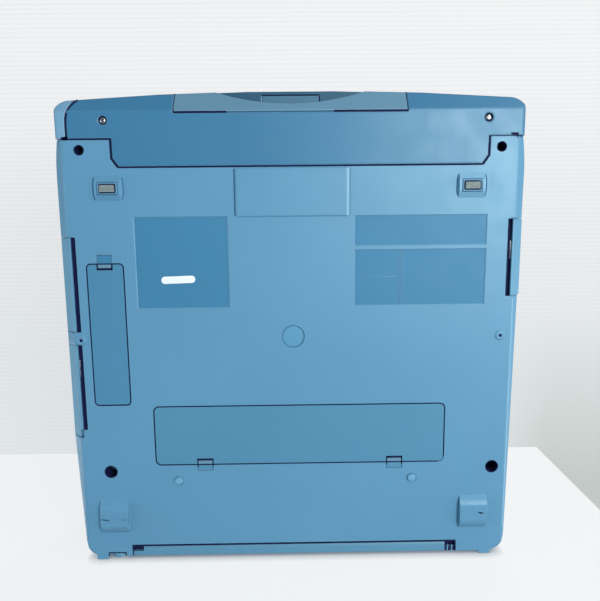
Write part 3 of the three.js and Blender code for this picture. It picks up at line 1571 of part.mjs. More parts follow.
for (const [name, row, first, widths] of keyGroupShares) {
  place(name, keyGroup(row, first, widths), paleGreyPlastic());
}
place('platen_roller', platenRoller(), blackRubber());
place('paper_feed_knob', feedKnob(), charcoalPlastic());
place('printer_frame', printerFrame(), steel());
place('feed_motor', feedMotor(), darkSteel());
place('guide_rod', guideRod(), steel());
place('carriage_belt', carriageBelt(), blackRubber());
place('print_carriage', printCarriage(), charcoalPlastic());
place('ribbon_cassette', ribbonCassette(), charcoalPlastic());
place('main_board', mainBoard(), greenBoard());
place('power_board', powerBoard(), greenBoard());
place('floppy_drive', diskDrive(), charcoalPlastic());
place('floppy_eject_button', ejectButton(), midGreyPlastic());
place('power_switch', powerSwitch(), charcoalPlastic());
place('contrast_dial', contrastDial(), charcoalPlastic());
place('power_inlet', powerInlet(), charcoalPlastic());

export default wordProcessor;
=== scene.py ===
import math

import bmesh
import bpy
from mathutils import Euler, Matrix, Vector


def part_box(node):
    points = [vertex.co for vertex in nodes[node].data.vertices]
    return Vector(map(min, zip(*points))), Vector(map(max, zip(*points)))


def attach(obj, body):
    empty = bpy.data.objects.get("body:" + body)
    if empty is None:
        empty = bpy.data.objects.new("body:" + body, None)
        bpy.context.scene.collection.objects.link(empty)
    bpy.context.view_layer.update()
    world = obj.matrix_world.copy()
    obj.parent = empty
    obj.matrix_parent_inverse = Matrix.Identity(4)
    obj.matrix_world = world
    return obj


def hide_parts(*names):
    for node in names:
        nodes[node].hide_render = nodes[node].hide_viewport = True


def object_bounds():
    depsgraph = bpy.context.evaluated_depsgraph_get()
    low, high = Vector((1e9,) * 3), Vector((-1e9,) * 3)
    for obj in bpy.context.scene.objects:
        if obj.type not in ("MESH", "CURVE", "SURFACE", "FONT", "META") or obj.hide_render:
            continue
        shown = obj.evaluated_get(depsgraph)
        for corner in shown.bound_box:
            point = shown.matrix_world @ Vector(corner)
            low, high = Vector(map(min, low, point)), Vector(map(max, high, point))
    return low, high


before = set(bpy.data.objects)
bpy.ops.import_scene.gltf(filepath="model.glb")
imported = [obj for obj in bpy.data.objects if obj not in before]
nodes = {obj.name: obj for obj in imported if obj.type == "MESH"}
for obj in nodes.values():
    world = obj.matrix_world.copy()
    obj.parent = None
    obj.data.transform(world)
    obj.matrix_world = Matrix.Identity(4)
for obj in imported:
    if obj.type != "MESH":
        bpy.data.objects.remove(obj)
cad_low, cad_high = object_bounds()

scene = bpy.context.scene
MM = 0.001
sides = {"left": -1, "right": 1}


# Colours and material nodes
def linear(red, green, blue):
    """A colour written in sRGB steps of 0 to 255, as a linear colour."""
    steps = [value / 255 for value in (red, green, blue)]
    return tuple(s / 12.92 if s <= 0.04045 else ((s + 0.055) / 1.055) ** 2.4 for s in steps) + (1.0,)


def scaled(color, factor):
    """The same colour, darker or lighter."""
    return tuple(min(1.0, value * factor) for value in color[:3]) + (1.0,)


class Nodes:
    """Short calls for the shader nodes of a material or a world."""

    def __init__(self, owner, output="ShaderNodeOutputMaterial"):
        owner.use_nodes = True
        self.tree = owner.node_tree
        self.tree.nodes.clear()
        self.out = self.node(output)

    def node(self, kind, **values):
        made = self.tree.nodes.new(kind)
        for key, value in values.items():
            setattr(made, key, value)
        return made

    def link(self, start, end):
        self.tree.links.new(start, end)

    def feed(self, socket, value):
        """Links a socket to another node's output, or sets its own value."""
        if hasattr(value, "is_output"):
            self.link(value, socket)
        else:
            socket.default_value = value

    def axes(self):
        """Where a point lies along X, Y and Z."""
        split = self.node("ShaderNodeSeparateXYZ")
        self.link(self.node("ShaderNodeTexCoord").outputs["Object"], split.inputs["Vector"])
        return split.outputs

    def spread(self, value, low, high, to_low=0.0, to_high=1.0):
        """The value, run from one range into another."""
        made = self.node("ShaderNodeMapRange")
        for key, number in (("From Min", low), ("From Max", high), ("To Min", to_low), ("To Max", to_high)):
            made.inputs[key].default_value = number
        self.link(value, made.inputs["Value"])
        return made.outputs["Result"]

    def math(self, operation, first, second=0.0, clamp=False):
        made = self.node("ShaderNodeMath", operation=operation, use_clamp=clamp)
        self.feed(made.inputs[0], first)
        self.feed(made.inputs[1], second)
        return made.outputs["Value"]

    def mix(self, factor, first, second, kind="RGBA"):
        """Two colours or two vectors, mixed by a factor."""
        made = self.node("ShaderNodeMix", data_type=kind)
        first_input, result = {"RGBA": (6, 2), "VECTOR": (4, 1)}[kind]
        self.feed(made.inputs[0], factor)
        self.feed(made.inputs[first_input], first)
        self.feed(made.inputs[first_input + 1], second)
        return made.outputs[result]

    def mix_shaders(self, factor, first, second):
        made = self.node("ShaderNodeMixShader")
        for socket, value in zip(made.inputs, (factor, first, second)):
            self.link(value, socket)
        return made.outputs["Shader"]

    def camera_ray(self):
        return self.node("ShaderNodeLightPath").outputs["Is Camera Ray"]


class Shading(Nodes):
    """A new material with a Principled shader, its textures and its softened edges."""

    def __init__(self, name):
        self.material = bpy.data.materials.new(name)
        super().__init__(self.material)
        self.shader = self.node("ShaderNodeBsdfPrincipled")
        self.link(self.shader.outputs["BSDF"], self.out.inputs["Surface"])
        self.place = self.node("ShaderNodeTexCoord").outputs["Object"]

    def give(self, socket, value):
        """Feeds one of the shader's own sockets."""
        self.feed(self.shader.inputs[socket], value)

    def noise(self, scale, detail=2.0, roughness=0.5, stretch=None):
        made = self.node("ShaderNodeTexNoise")
        for key, value in (("Scale", scale), ("Detail", detail), ("Roughness", roughness)):
            made.inputs[key].default_value = value
        place = self.place
        if stretch:
            mapping = self.node("ShaderNodeMapping")
            mapping.inputs["Scale"].default_value = stretch
            self.link(place, mapping.inputs["Vector"])
            place = mapping.outputs["Vector"]
        self.link(place, made.inputs["Vector"])
        return made.outputs["Fac"]

    def brick(self, scale, line, first, second, line_color):
        """Rows of cells in two close colours, with thin lines between them."""
        made = self.node("ShaderNodeTexBrick")
        for key, value in (("Scale", scale), ("Mortar Size", line), ("Color1", first), ("Color2", second),
                           ("Mortar", line_color)):
            made.inputs[key].default_value = value
        self.link(self.place, made.inputs["Vector"])
        return made

    def edges(self, radius):
        """How strongly a point lies on an outer or inner edge, and the rounded normal there."""
        bevel = self.node("ShaderNodeBevel", samples=6)
        bevel.inputs["Radius"].default_value = radius
        likeness = self.node("ShaderNodeVectorMath", operation="DOT_PRODUCT")
        self.link(bevel.outputs["Normal"], likeness.inputs[0])
        self.link(self.node("ShaderNodeNewGeometry").outputs["True Normal"], likeness.inputs[1])
        return self.spread(likeness.outputs["Value"], low=0.995, high=0.8), bevel.outputs["Normal"]

    def beyond(self, side, blend):
        """One where a point lies farther out to either side than a distance from the middle."""
        distance = self.math("ABSOLUTE", self.axes()["X"])
        return self.spread(distance, side - blend, side + blend)

    def bump(self, height, strength, distance, normal=None):
        """Gives the shader a bumped normal."""
        made = self.node("ShaderNodeBump")
        made.inputs["Strength"].default_value = strength
        made.inputs["Distance"].default_value = distance
        self.link(height, made.inputs["Height"])
        if normal is not None:
            self.link(normal, made.inputs["Normal"])
        self.give("Normal", made.outputs["Normal"])


# What every plastic shares: the tint of its reflections, and the wide rounding of outer sides
sheen_tint = (0.80, 1.0, 0.98, 1.0)
side_rounding, side_blend = 2.6 * MM, 0.3 * MM


def plastic(name, color, roughness=0.45, grain=1.0, wear=0.12, specular=0.5, edge=0.5 * MM,
            round_side=None):
    """Moulded plastic: sparked grain, cloudy sheen, faint handling marks and lighter edges.

    Edges farther out to a side than round_side are rounded more widely.
    """
    s = Shading(name)
    cloud = s.noise(scale=9, detail=3)
    blotch = s.noise(scale=60)
    fine = s.noise(scale=1500, roughness=0.6)
    marks = s.noise(scale=210, detail=3, roughness=0.7, stretch=(1, 0.12, 1))
    on_edge, soft_normal = s.edges(edge)
    tone = s.mix(s.spread(cloud, 0.3, 0.7), scaled(color, 0.965), scaled(color, 1.035))
    tone = s.mix(s.spread(blotch, 0.35, 0.65, to_high=0.35), tone, scaled(color, 0.97))
    pale = tuple(value + (1 - value) * wear for value in color[:3]) + (1.0,)
    s.give("Base Color", s.mix(s.math("MULTIPLY", on_edge, 0.55), tone, pale))
    rough = s.spread(blotch, 0.3, 0.7, to_low=roughness - 0.03, to_high=roughness + 0.04)
    s.give("Roughness", s.math("ADD", rough, s.spread(marks, 0.55, 0.75, to_high=0.05)))
    s.give("Specular IOR Level", specular)
    s.give("Specular Tint", sheen_tint)
    if round_side:
        wide_normal = s.edges(side_rounding)[1]
        soft_normal = s.mix(s.beyond(round_side, side_blend), soft_normal, wide_normal, "VECTOR")
    s.bump(fine, strength=0.22 * grain, distance=0.06 * MM, normal=soft_normal)
    return s.material


def rubber(name, color):
    """Matt surface with a pressed fibre-like grain and pale dust."""
    s = Shading(name)
    grain = s.noise(scale=900, detail=4, roughness=0.7)
    dust = s.noise(scale=300, detail=3)
    s.give("Base Color", s.mix(s.spread(dust, 0.4, 0.7), color, scaled(color, 1.35)))
    s.give("Roughness", s.spread(grain, 0.3, 0.7, to_low=0.75, to_high=0.95))
    s.give("Specular IOR Level", 0.3)
    s.bump(grain, strength=0.5, distance=0.15 * MM)
    return s.material


def metal(name, color, roughness, stretch=(1, 1, 1)):
    """Plated or brushed metal with a fine tooling grain."""
    s = Shading(name)
    lines = s.noise(scale=700, detail=3, roughness=0.6, stretch=stretch)
    cloud = s.noise(scale=80)
    on_edge, soft_normal = s.edges(radius=0.2 * MM)
    tone = s.mix(s.spread(cloud, 0.35, 0.65), scaled(color, 0.9), color)
    s.give("Base Color", s.mix(on_edge, tone, scaled(color, 1.2)))
    s.give("Metallic", 1.0)
    s.give("Roughness", s.spread(lines, 0.3, 0.7, to_low=roughness - 0.06, to_high=roughness + 0.1))
    s.bump(lines, strength=0.12, distance=0.05 * MM, normal=soft_normal)
    return s.material


def glass_panel(name):
    """Grey-green display behind a clear sheet, with its fine cell grid."""
    s = Shading(name)
    cells = s.brick(1600, 0.04, linear(141, 154, 134), linear(138, 151, 131), linear(128, 141, 122))
    cells.offset = 0.0
    cells.inputs["Row Height"].default_value = 0.5
    s.give("Base Color", cells.outputs["Color"])
    s.give("Roughness", s.spread(s.noise(scale=40), 0.3, 0.7, to_low=0.1, to_high=0.17))
    s.give("Coat Weight", 0.6)
    s.give("Coat Roughness", 0.05)
    return s.material


def circuit_board(name):
    """Solder mask with faint tracks under it."""
    s = Shading(name)
    tracks = s.brick(260, 0.06, linear(38, 98, 60), linear(34, 90, 55), linear(62, 128, 82))
    s.give("Base Color", tracks.outputs["Color"])
    s.give("Roughness", s.spread(s.noise(scale=200), 0.3, 0.7, to_low=0.3, to_high=0.45))
    s.bump(tracks.outputs["Fac"], strength=0.2, distance=0.05 * MM)
    return s.material


body_plastic = plastic("body_plastic", linear(86, 140, 174), roughness=0.43, round_side=161 * MM)
# Paler blue for the right block's face: painted sheen
block_painted_sheen = plastic("block_painted_sheen", linear(106, 156, 187), roughness=0.43)
disc_plastic = plastic("disc_plastic", linear(82, 143, 178))
nub_plastic = plastic("nub_plastic", linear(104, 158, 190), roughness=0.2)
# Pale finish for the right flare's edge line: painted highlight
flare_painted_highlight = plastic("flare_painted_highlight", linear(118, 164, 194))
door_plastic = plastic("door_plastic", linear(74, 131, 163))
option_plastic = plastic("option_plastic", linear(68, 127, 162))
# End cap: its own blue, lightened past its colour as painted sheen
cap_plastic_with_painted_sheen = plastic("cap_plastic_with_painted_sheen", linear(108, 154, 186), roughness=0.42, edge=2.0 * MM)
release_plastic = plastic("release_plastic", linear(62, 106, 134))
front_plastic = plastic("front_plastic", linear(54, 114, 152), roughness=0.4, edge=2.4 * MM)
handle_plastic = plastic("handle_plastic", linear(92, 134, 160), roughness=0.5)
# Darker blue for the finger scoop: painted shade
scoop_painted_shade = plastic("scoop_painted_shade", linear(24, 76, 106), roughness=0.5)
field_plastic = plastic("field_plastic", linear(58, 120, 158), roughness=0.5, grain=0.3, wear=0.2,
                        specular=0.35)
side_plastic = plastic("side_plastic", linear(88, 142, 174), roughness=0.5)
flap_plastic = plastic("flap_plastic", linear(82, 134, 165), roughness=0.5)
label_paper = plastic("label_paper", linear(226, 236, 240), roughness=0.55, grain=0.4, wear=0.0)
key_plastic = plastic("key_plastic", linear(205, 208, 204), roughness=0.5, grain=0.8, wear=0.3)
bezel_plastic = plastic("bezel_plastic", linear(198, 203, 202), roughness=0.55)
charcoal_plastic = plastic("charcoal_plastic", linear(44, 48, 54), wear=0.1)
# Pale finish for painted highlight lines and strips
edge_painted_highlight = plastic("edge_painted_highlight", linear(116, 162, 192))
# Dark line finishes for joints and scuffs, also used for painted shade lines
seam_and_shade_dark = rubber("seam_and_shade_dark", linear(0, 9, 52))
seam_and_shade_soft = rubber("seam_and_shade_soft", linear(34, 76, 108))
# Near-black navy laid into holes, slots and notches as painted shade
hollow_painted_shade = rubber("hollow_painted_shade", linear(6, 14, 62))
pad_rubber = rubber("pad_rubber", linear(112, 125, 126))
platen_rubber = rubber("platen_rubber", linear(32, 32, 35))
bright_steel = metal("bright_steel", linear(190, 194, 198), roughness=0.28)
dark_steel = metal("dark_steel", linear(96, 100, 106), roughness=0.4)
brushed_steel = metal("brushed_steel", linear(176, 180, 184), roughness=0.34, stretch=(0.06, 1, 1))
display_glass = glass_panel("display_glass")
board_mask = circuit_board("board_mask")


# Finish of every CAD node
finishes = {
    "bottom_case": body_plastic, "front_cover": front_plastic, "front_end_cap": cap_plastic_with_painted_sheen,
    "carry_handle": handle_plastic, "handle_release": release_plastic,
    "front_foot_left": pad_rubber, "front_foot_right": pad_rubber,
    "battery_door": door_plastic, "battery_pack": charcoal_plastic,
    "option_door": option_plastic, "option_card": board_mask,
    "left_cover_front": side_plastic, "left_cover_rear": side_plastic, "right_cover": side_plastic,
    "paper_flap": flap_plastic, "top_case": body_plastic, "printer_cover": body_plastic,
    "lid_shell": body_plastic, "lid_bezel": bezel_plastic, "lcd_panel": display_glass,
    "lid_latch": front_plastic, "hinge_left": brushed_steel, "hinge_right": brushed_steel,
    "keyboard_plate": dark_steel, "platen_roller": platen_rubber, "paper_feed_knob": charcoal_plastic,
    "printer_frame": brushed_steel, "feed_motor": dark_steel, "carriage_belt": platen_rubber,
    "print_carriage": charcoal_plastic, "ribbon_cassette": charcoal_plastic,
    "main_board": board_mask, "power_board": board_mask,
    "floppy_drive": charcoal_plastic, "floppy_eject_button": side_plastic,
    "power_switch": charcoal_plastic, "contrast_dial": charcoal_plastic, "power_inlet": side_plastic,
}


def finish_of(node):
    """The node's finish; keys and screws go by their names, and what is left is bright steel."""
    if node.startswith("keys_"):
        return key_plastic
    if node.startswith("case_screw_"):
        return dark_steel
    return finishes.get(node, bright_steel)


for name, obj in nodes.items():
    obj.data.materials.clear()
    obj.data.materials.append(finish_of(name))


# Camera at the photograph's place: below the machine, which stands on its rear edge.
# The picture is 600 pixels wide and 601 high, so its height is the side that the lens fits.
sensor_size = 36
picture_height, focal_length = 601, 600
camera_place = Vector((0.3, -98.0, -440.2)) * MM
camera_angles = Euler([math.radians(angle) for angle in (170.979, 0.732, 0.567)])
camera_data = bpy.data.cameras.new("camera")
camera_data.sensor_width = sensor_size
camera_data.lens = sensor_size * focal_length / picture_height
camera_data.clip_start = 0.02
camera_data.clip_end = 50
camera = bpy.data.objects.new("camera", camera_data)
scene.collection.objects.link(camera)
camera.matrix_world = Matrix.Translation(camera_place) @ camera_angles.to_matrix().to_4x4()
scene.camera = camera


# Stage: the table the machine stands on with its rear edge, the wall behind it, and a desk
# under its feet for the other views. Each shows on its front only and lets light through.
contact_shade = linear(70, 92, 112)
rib_height = 5.4 * MM
wall_pale_y, wall_dim_y = -277 * MM, 88 * MM
corner_left, corner_right = 241 * MM, 341 * MM
corner_front, corner_rear = 41 * MM, 288 * MM


def wall_tone(n):
    """Ribbed wall with painted shade: it darkens towards the table, most of all to the right of it."""
    axes = n.axes()
    tone = n.mix(n.spread(axes["Y"], wall_pale_y, wall_dim_y), linear(241, 242, 243), linear(228, 232, 234))
    corner = n.math("MULTIPLY", n.spread(axes["X"], corner_left, corner_right),
                    n.spread(axes["Y"], corner_front, corner_rear))
    tone = n.mix(corner, tone, linear(192, 198, 194))
    wave = n.math("SINE", n.math("MULTIPLY", axes["Y"], 2 * math.pi / rib_height))
    return n.mix(n.spread(wave, low=-1, high=1, to_high=0.16), tone, linear(206, 211, 212))


def stage_material(name, color, glow, reach):
    """Pale surface that partly glows for the camera and keeps a narrow shade at what touches it."""
    material = bpy.data.materials.new(name)
    n = Nodes(material)
    tone = color(n) if callable(color) else color
    contact = n.node("ShaderNodeAmbientOcclusion", samples=12)
    contact.inputs["Distance"].default_value = reach
    diffuse = n.node("ShaderNodeBsdfDiffuse")
    n.feed(diffuse.inputs["Color"], tone)
    light = n.node("ShaderNodeEmission")
    n.link(n.mix(contact.outputs["AO"], contact_shade, tone), light.inputs["Color"])
    camera_ray = n.camera_ray()
    shown = n.mix_shaders(n.math("MULTIPLY", camera_ray, glow), diffuse.outputs["BSDF"],
                          light.outputs["Emission"])
    clear = n.node("ShaderNodeBsdfTransparent").outputs["BSDF"]
    behind = n.node("ShaderNodeNewGeometry").outputs["Backfacing"]
    in_front = n.math("SUBTRACT", camera_ray, behind, clamp=True)
    n.link(n.mix_shaders(in_front, clear, shown), n.out.inputs["Surface"])
    return material


def stage_plane(name, corners, material):
    mesh = bpy.data.meshes.new(name)
    mesh.from_pydata([Vector(corner) for corner in corners], [], [tuple(range(len(corners)))])
    mesh.materials.append(material)
    obj = bpy.data.objects.new(name, mesh)
    scene.collection.objects.link(obj)


# Places of the three planes, in metres
stage_half = 3
table_gap = 0.15 * MM
table_y = cad_high.y + table_gap
table_left, table_right = -2.5, 279 * MM
table_near, table_far = -1.6, 215 * MM
wall_z, wall_front, wall_rear = 330 * MM, -2.5, 2
desk_z, desk_gap = -0.2 * MM, 10 * MM
desk_rear = table_y - desk_gap
table_reach, wall_reach = 9 * MM, 3 * MM
pale_table = stage_material("pale_table", linear(243, 246, 247), 0.88, table_reach)
pale_wall = stage_material("pale_wall", wall_tone, 0.9, wall_reach)
pale_desk = stage_material("pale_desk", linear(238, 240, 240), 0.35, table_reach)
stage_plane("table", [(table_left, table_y, table_near), (table_right, table_y, table_near),
                      (table_right, table_y, table_far), (table_left, table_y, table_far)], pale_table)
stage_plane("wall", [(-stage_half, wall_rear, wall_z), (stage_half, wall_rear, wall_z),
                     (stage_half, wall_front, wall_z), (-stage_half, wall_front, wall_z)], pale_wall)
stage_plane("desk", [(-stage_half, -stage_half, desk_z), (stage_half, -stage_half, desk_z),
                     (stage_half, desk_rear, desk_z), (-stage_half, desk_rear, desk_z)], pale_desk)


# World: soft ambient light, and a pale background for the camera
def background(sky, color, strength):
    made = sky.node("ShaderNodeBackground")
    made.inputs["Color"].default_value = color
    made.inputs["Strength"].default_value = strength
    return made.outputs["Background"]


world = bpy.data.worlds.new("studio")
scene.world = world
sky = Nodes(world, "ShaderNodeOutputWorld")
ambient = background(sky, (0.97, 0.985, 1.0, 1.0), strength=0.26)
seen = background(sky, linear(236, 238, 239), strength=1.0)
sky.link(sky.mix_shaders(sky.camera_ray(), ambient, seen), sky.out.inputs["Surface"])


# Lamps: places and sizes in metres, power in watts
def softbox(name, place, target, size, power, color=(1, 1, 1)):
    """Rectangular lamp that faces its target."""
    data = bpy.data.lights.new(name, "AREA")
    data.shape = "RECTANGLE"
    data.size, data.size_y = size
    data.energy = power
    data.color = color
    obj = bpy.data.objects.new(name, data)
    scene.collection.objects.link(obj)
    obj.location = place
    obj.rotation_mode = "QUATERNION"
    obj.rotation_quaternion = (Vector(target) - Vector(place)).to_track_quat("-Z", "Y")


softbox("window_below", place=(0.76, -0.34, -1.48), target=(0.08, -0.06, 0), size=(0.6, 0.6), power=26)
softbox("side_left", place=(-1.5, 0.1, -0.35), target=(-0.17, 0, 0), size=(0.9, 1.4), power=12,
        color=(0.72, 0.92, 1.0))
softbox("side_right", place=(1.4, 0.35, -0.3), target=(0.17, 0, 0), size=(0.6, 1.2), power=8)
softbox("window_above", place=(0.8, -0.9, 1.5), target=(0, 0, 0.05), size=(1.0, 1.0), power=16)
softbox("front_right", place=(0.72, -1.12, -0.34), target=(0.12, -0.17, 0.01), size=(0.45, 0.45), power=4)
softbox("fill_above", place=(-1.2, 0.9, 1.3), target=(0, 0, 0.05), size=(1.2, 1.2), power=14)
softbox("fill_behind", place=(0.5, 1.6, 0.45), target=(0, 0.18, 0.05), size=(0.9, 0.6), power=10)

scene.view_settings.view_transform = "Standard"


# Small builders: every length from here on is in millimetres and turned into metres when laid
def box(node):
    low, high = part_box(node)
    return low / MM, high / MM


def middle(node):
    low, high = box(node)
    return (low.x + high.x) / 2, (low.y + high.y) / 2


def lay(name, points, faces, material, rides="base", replaces=(), smooth=None):
    """A piece from its points and faces; smooth is the sharpest angle still shaded round."""
    mesh = bpy.data.meshes.new(name)
    mesh.from_pydata([Vector(point) * MM for point in points], [], faces)
    mesh.materials.append(material)
    if smooth:
        mesh.shade_smooth()
        mesh.set_sharp_from_angle(angle=math.radians(smooth))
    obj = bpy.data.objects.new(name, mesh)
    scene.collection.objects.link(obj)
    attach(obj, rides)
    if replaces:
        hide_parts(*replaces)


def circle(x, y, radius, z, steps=32):
    turns = [2 * math.pi * index / steps for index in range(steps)]
    return [(x + radius * math.cos(a), y + radius * math.sin(a), z) for a in turns]


def rings(x, y, profile):
    """Circles round one place, from a profile of radius and height."""
    return [circle(x, y, radius, z) for radius, z in profile]


corner_steps = 5


def rounded(left, right, front, rear, radius, z, out=0, steps=corner_steps):
    """Rounded rectangle, moved outwards by out; it starts at its right rear corner."""
    left, right, front, rear = left - out, right + out, front - out, rear + out
    corners = [(right - radius, rear - radius, 0), (left + radius, rear - radius, 90),
               (left + radius, front + radius, 180), (right - radius, front + radius, 270)]
    points = []
    for x, y, start in corners:
        for index in range(steps + 1):
            a = math.radians(start + 90 * index / steps)
            points.append((x + radius * math.cos(a), y + radius * math.sin(a), z))
    return points


def tube_faces(levels, count):
    """Faces between closed loops of count points each."""
    faces = []
    for level in range(levels - 1):
        for index in range(count):
            near, after = level * count + index, level * count + (index + 1) % count
            faces.append((near, near + count, after + count, after))
    return faces


def stack(name, loops, material, fill=True, smooth=30, replaces=()):
    """Skin that runs from loop to loop; the last loop is filled."""
    points = [point for loop in loops for point in loop]
    count = len(loops[0])
    faces = tube_faces(len(loops), count)
    if fill:
        faces.append(tuple(reversed(range(len(points) - count, len(points)))))
    lay(name, points, faces, material, replaces=replaces, smooth=smooth)


# Form of the underside, which the thin pieces follow
panel = box("battery_door")[0].z
split_front, split_rear = -146.1, -126.2
flare_width, flare_rise = 7.5, 8
flare_inner = box("bottom_case")[1].x - flare_width
front_edge = box("front_cover")[1].x
front_flare_width, front_flare_rise = 2, 2.2
front_flare_inner = front_edge - front_flare_width
bevel_front, bevel_run, bevel_rise = -165.5, 15, 12
skin_lift, flat_lift = 0.03, 0.02


def skin(x, y):
    """Height just over the underside: flat panel, flared sides, bevelled front."""
    if y < split_front:
        side = max(0.0, abs(x) - front_flare_inner) * front_flare_rise / front_flare_width
    else:
        side = max(0.0, abs(x) - flare_inner) * flare_rise / flare_width
    front = max(0.0, bevel_front - y) * bevel_rise / bevel_run
    return panel + max(side, front) - skin_lift


def at_height(z):
    return lambda x, y: z


def seam(name, path, width, material, closed=False, rides="base", height=skin):
    """Flat line along a path: a joint where the rounded edges of two pieces fall away, a scuff, or a painted
    shade or highlight line.
    """
    sharpest_corner = 0.4
    count = len(path)
    points = []
    for index, place in enumerate(path):
        here = Vector(place[:2])
        before = Vector(path[index - 1][:2]) if closed or index else here
        after = Vector(path[(index + 1) % count][:2]) if closed or index < count - 1 else here
        into = (here - before).normalized() if here != before else (after - here).normalized()
        out = (after - here).normalized() if here != after else into
        along = (into + out).normalized()
        across = Vector((-along.y, along.x)) * (width / 2) / max(sharpest_corner, along.dot(into))
        for side in (here + across, here - across):
            points.append((side.x, side.y, height(side.x, side.y)))
    faces = []
    for index in range(count if closed else count - 1):
        near, far = 2 * index, 2 * ((index + 1) % count)
        faces.append((near, near + 1, far + 1, far))
    lay(name, points, faces, material, rides)


def cross_line(name, left, right, y, width, material, **more):
    """Straight line from side to side."""
    seam(name, [(left, y), (right, y)], width, material, **more)


def long_line(name, x, front, rear, width, material, **more):
    """Straight line from front to rear."""
    seam(name, [(x, front), (x, rear)], width, material, **more)


def patch(name, corners, z, material, rides="base"):
    lay(name, [(x, y, z) for x, y in corners], [tuple(range(len(corners)))], material, rides)


def pane(name, left, right, front, rear, z, material, rides="base"):
    """Flat rectangle."""
    patch(name, [(left, front), (right, front), (right, rear), (left, rear)], z, material, rides)


def bar(name, left, right, front, rear, bottom, top, material, bevel):
    """Block with bevelled edges."""
    work = bmesh.new()
    bmesh.ops.create_cube(work, size=1)
    for vertex in work.verts:
        vertex.co.x = left if vertex.co.x < 0 else right
        vertex.co.y = front if vertex.co.y < 0 else rear
        vertex.co.z = bottom if vertex.co.z < 0 else top
    bmesh.ops.bevel(work, geom=work.edges[:], offset=bevel, segments=3, profile=0.5, affect="EDGES")
    points = [tuple(vertex.co) for vertex in work.verts]
    work.verts.index_update()
    faces = [tuple(vertex.index for vertex in face.verts) for face in work.faces]
    work.free()
    lay(name, points, faces, material, smooth=35)


# Joints round the two doors; they turn with the doors, and the battery door's right rear corner is soft
battery_low, battery_high = box("battery_door")
option_low, option_high = box("option_door")
battery_tab_reach, option_tab_reach = 5, 6.5
battery_rear = battery_high.y - battery_tab_reach
option_front = option_low.y + option_tab_reach
door_gap, option_hinge_room = 0.15, 0.5
battery_radius, option_radius = 4, 3
battery_line, battery_corner_line, option_line = 1.0, 0.7, 0.95
door_loop = rounded(battery_low.x, battery_high.x, battery_low.y, battery_rear, battery_radius, 0, door_gap)
seam("battery_door_seam", door_loop[corner_steps:] + door_loop[:1], battery_line, seam_and_shade_dark,
     rides="battery_door")
seam("battery_door_seam_rear", door_loop[:corner_steps + 1], battery_corner_line, seam_and_shade_soft,
     rides="battery_door")
option_loop = rounded(option_low.x, option_high.x, option_front, option_high.y - option_hinge_room,
                      option_radius, 0, door_gap)
seam("option_door_seam", option_loop, option_line, seam_and_shade_dark, closed=True, rides="option_door")

# Joint between the front cover and the case, with a slanted step on each side
split_left, split_right = -129.6, 143.6
split_run, split_rise, split_lean, split_overlap = 4.5, 6.3, 0.1, 0.4
ear_left, ear_right = -164, 168.6
left_ear_line, right_ear_line, split_side_line, split_middle_line = 1.35, 1.3, 1.8, 1.3
left_end, right_end = split_left + split_run, split_right - split_run
step_front, side_front = split_rear - split_rise, split_front - split_overlap
cross_line("split_left_ear", ear_left, split_left, split_front, left_ear_line, seam_and_shade_dark)
seam("split_left_side", [(split_left, side_front), (split_left + split_lean, step_front),
                         (left_end, split_rear)], split_side_line, seam_and_shade_dark)
cross_line("split_middle", left_end, right_end, split_rear, split_middle_line, seam_and_shade_dark)
seam("split_right_side", [(right_end, split_rear), (split_right - split_lean, step_front),
                          (split_right, side_front)], split_side_line, seam_and_shade_dark)
cross_line("split_right_ear", split_right, ear_right, split_front, right_ear_line, seam_and_shade_dark)

# Joint of the front end cap: a curve from the front, then straight to the ear
cap_side = -160.75
cap_start, cap_pull, cap_end = Vector((-153.2, -174.3)), Vector((cap_side, -168.5)), Vector((cap_side, -156))
cap_steps, cap_line = 8, 1.6
cap_path = []
for step in range(cap_steps + 1):
    t = step / cap_steps
    cap_path.append(cap_start * (1 - t) ** 2 + cap_pull * 2 * t * (1 - t) + cap_end * t ** 2)
cap_path.append((cap_side, split_front + split_overlap))
seam("cap_seam", cap_path, cap_line, seam_and_shade_dark)

# Joint of the carry handle in the front cover, softer in its middle stretch
handle_high = box("carry_handle")[1]
handle_gap, handle_rear, handle_front = 0.3, -164.3, -178.6
handle_half = handle_high.x + handle_gap
soft_left, soft_right = -46, 31
handle_line, handle_soft_line, handle_end_line = 1.5, 0.8, 1.7
cross_line("handle_seam_left", -handle_half, soft_left, handle_rear, handle_line, seam_and_shade_dark)
cross_line("handle_seam_middle", soft_left, soft_right, handle_rear, handle_soft_line, seam_and_shade_soft)
cross_line("handle_seam_right", soft_right, handle_half, handle_rear, handle_line, seam_and_shade_dark)
for name, side in sides.items():
    long_line("handle_end_" + name, side * handle_half, handle_rear, handle_front, handle_end_line,
              seam_and_shade_dark)

# Painted highlight: a pale line along the inner edge of the right flare
highlight_out, highlight_front, highlight_rear, highlight_width = 0.7, -28, 158, 1.2
long_line("flare_edge_right", flare_inner + highlight_out, highlight_front, highlight_rear, highlight_width,
          flare_painted_highlight)

# Edges of the release's slot in the finger scoop, which slide with the handle
release_low, release_high = box("handle_release")
slot_gap, slot_gap_left, slot_lift = 0.3, 0.6, 0.06
slot_front_line, slot_right_line, slot_left_line = 1.0, 0.9, 0.6
slot_rear, slot_right = release_high.y + slot_gap, release_high.x + slot_gap
on_slot = {"rides": "handle", "height": at_height(release_low.z - slot_lift)}
cross_line("release_slot_front", release_low.x - slot_gap, slot_right, release_low.y - slot_gap,
           slot_front_line, seam_and_shade_dark, **on_slot)
long_line("release_slot_right", slot_right, release_low.y, slot_rear, slot_right_line, seam_and_shade_dark, **on_slot)
# The left edge is a pale painted highlight line
long_line("release_slot_left", release_low.x - slot_gap_left, release_low.y, slot_rear, slot_left_line,
          edge_painted_highlight, **on_slot)

